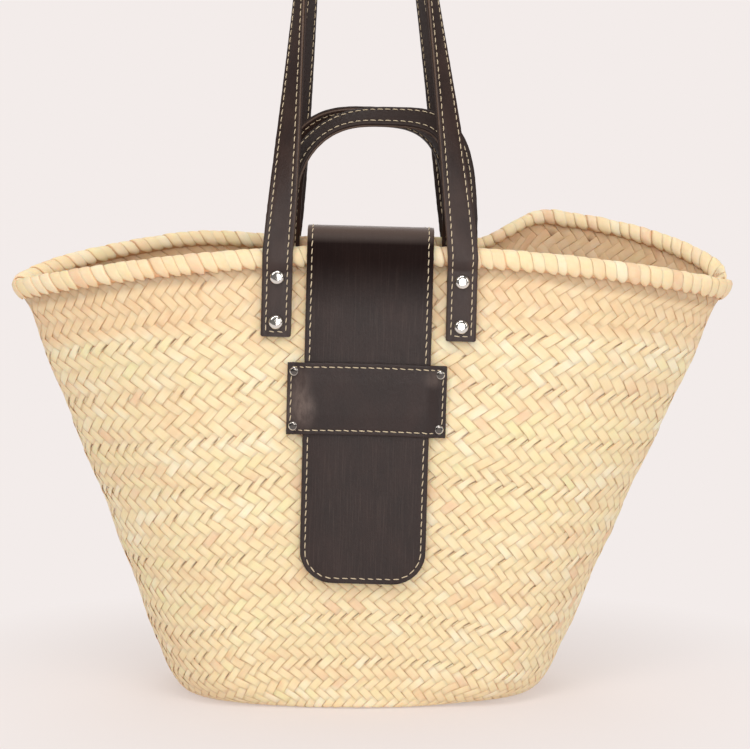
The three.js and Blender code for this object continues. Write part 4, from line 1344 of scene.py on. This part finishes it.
def make_stage():
    """A pale floor that fades into an even backdrop."""
    s = Shader(bpy.data.materials.new("studio_floor"))
    place = s.add("ShaderNodeNewGeometry", {}).outputs["Position"]
    away = s.vector("LENGTH", place)["Value"]
    material = s.surface({
        "Base Color": rgba(linear(228, 217, 212)), "Roughness": 0.9, "Specular IOR Level": 0.1,
    })
    glow = s.add("ShaderNodeEmission", {"Color": rgba(BACKDROP), "Strength": 1.0})
    mix = s.add("ShaderNodeMixShader", {
        "Fac": s.ranged(away, 0.1, 0.4, 0.4, 1.0), 1: s.tree.nodes["Principled BSDF"].outputs["BSDF"],
        2: glow.outputs["Emission"],
    })
    s.put(s.tree.nodes["Material Output"], {"Surface": mix.outputs["Shader"]})
    mesh = bpy.data.meshes.new("floor")
    ends = ((-1, -1), (1, -1), (1, 1), (-1, 1))
    mesh.from_pydata([(x * FLOOR_HALF, y * FLOOR_HALF, 0) for x, y in ends], [], [(0, 1, 2, 3)])
    mesh.materials.append(material)
    floor = bpy.data.objects.new("floor", mesh)
    bpy.context.scene.collection.objects.link(floor)


def make_world():
    """Even light, with a dimmer warm surround in reflections and the backdrop's colour behind."""
    s = Shader(bpy.data.worlds.new("studio"))
    bpy.context.scene.world = s.owner
    light = s.tree.nodes["Background"]
    s.put(light, {"Color": (1.0, 0.99, 0.98, 1.0), "Strength": 0.56})
    path = s.add("ShaderNodeLightPath", {})
    last = light.outputs[0]
    for ray, colour, strength in (
        ("Is Glossy Ray", (1.0, 0.95, 0.92, 1.0), 0.16), ("Is Camera Ray", rgba(BACKDROP), 1.0),
    ):
        shown = s.add("ShaderNodeBackground", {"Color": colour, "Strength": strength}).outputs[0]
        mix = s.add("ShaderNodeMixShader", {"Fac": path.outputs[ray], 1: last, 2: shown})
        last = mix.outputs["Shader"]
    s.put(s.tree.nodes["World Output"], {"Surface": last})


def make_lights():
    for name, (place, power, size, colour) in LAMPS.items():
        light = bpy.data.lights.new(name, "AREA")
        light.energy = power
        light.size = size
        light.color = colour
        lamp = bpy.data.objects.new(name, light)
        lamp.location = place
        aim = Vector((0, 0, 0.22)) - Vector(place)
        lamp.rotation_euler = aim.to_track_quat("-Z", "Y").to_euler()
        bpy.context.scene.collection.objects.link(lamp)


def make_camera():
    data = bpy.data.cameras.new("camera")
    data.sensor_width = 36.0
    data.lens = CAMERA_LENS
    data.clip_end = 50.0
    camera = bpy.data.objects.new("camera", data)
    back = Vector((0, -math.cos(CAMERA_ELEVATION), math.sin(CAMERA_ELEVATION)))
    camera.location = Vector(CAMERA_TARGET) * MM + back * CAMERA_DISTANCE * MM
    camera.rotation_euler = (-back).to_track_quat("-Z", "Y").to_euler()
    bpy.context.scene.collection.objects.link(camera)
    bpy.context.scene.camera = camera


def main():
    bpy.context.scene.view_settings.view_transform = "Standard"
    make_camera()
    make_world()
    make_lights()
    make_stage()
    materials = make_materials()
    wall = Wall()
    make_weave(wall, materials["palm"])
    make_base(materials["palm"])
    make_rim(wall, materials["palm_rim"])
    for number, name in enumerate(HANDLES):
        make_handle(name, materials, np.random.default_rng(40 + number))
    make_keeper(materials, np.random.default_rng(61))
    make_flap(materials, np.random.default_rng(71))
    make_rivets(materials["nickel"], materials["nickel_small"])


main()
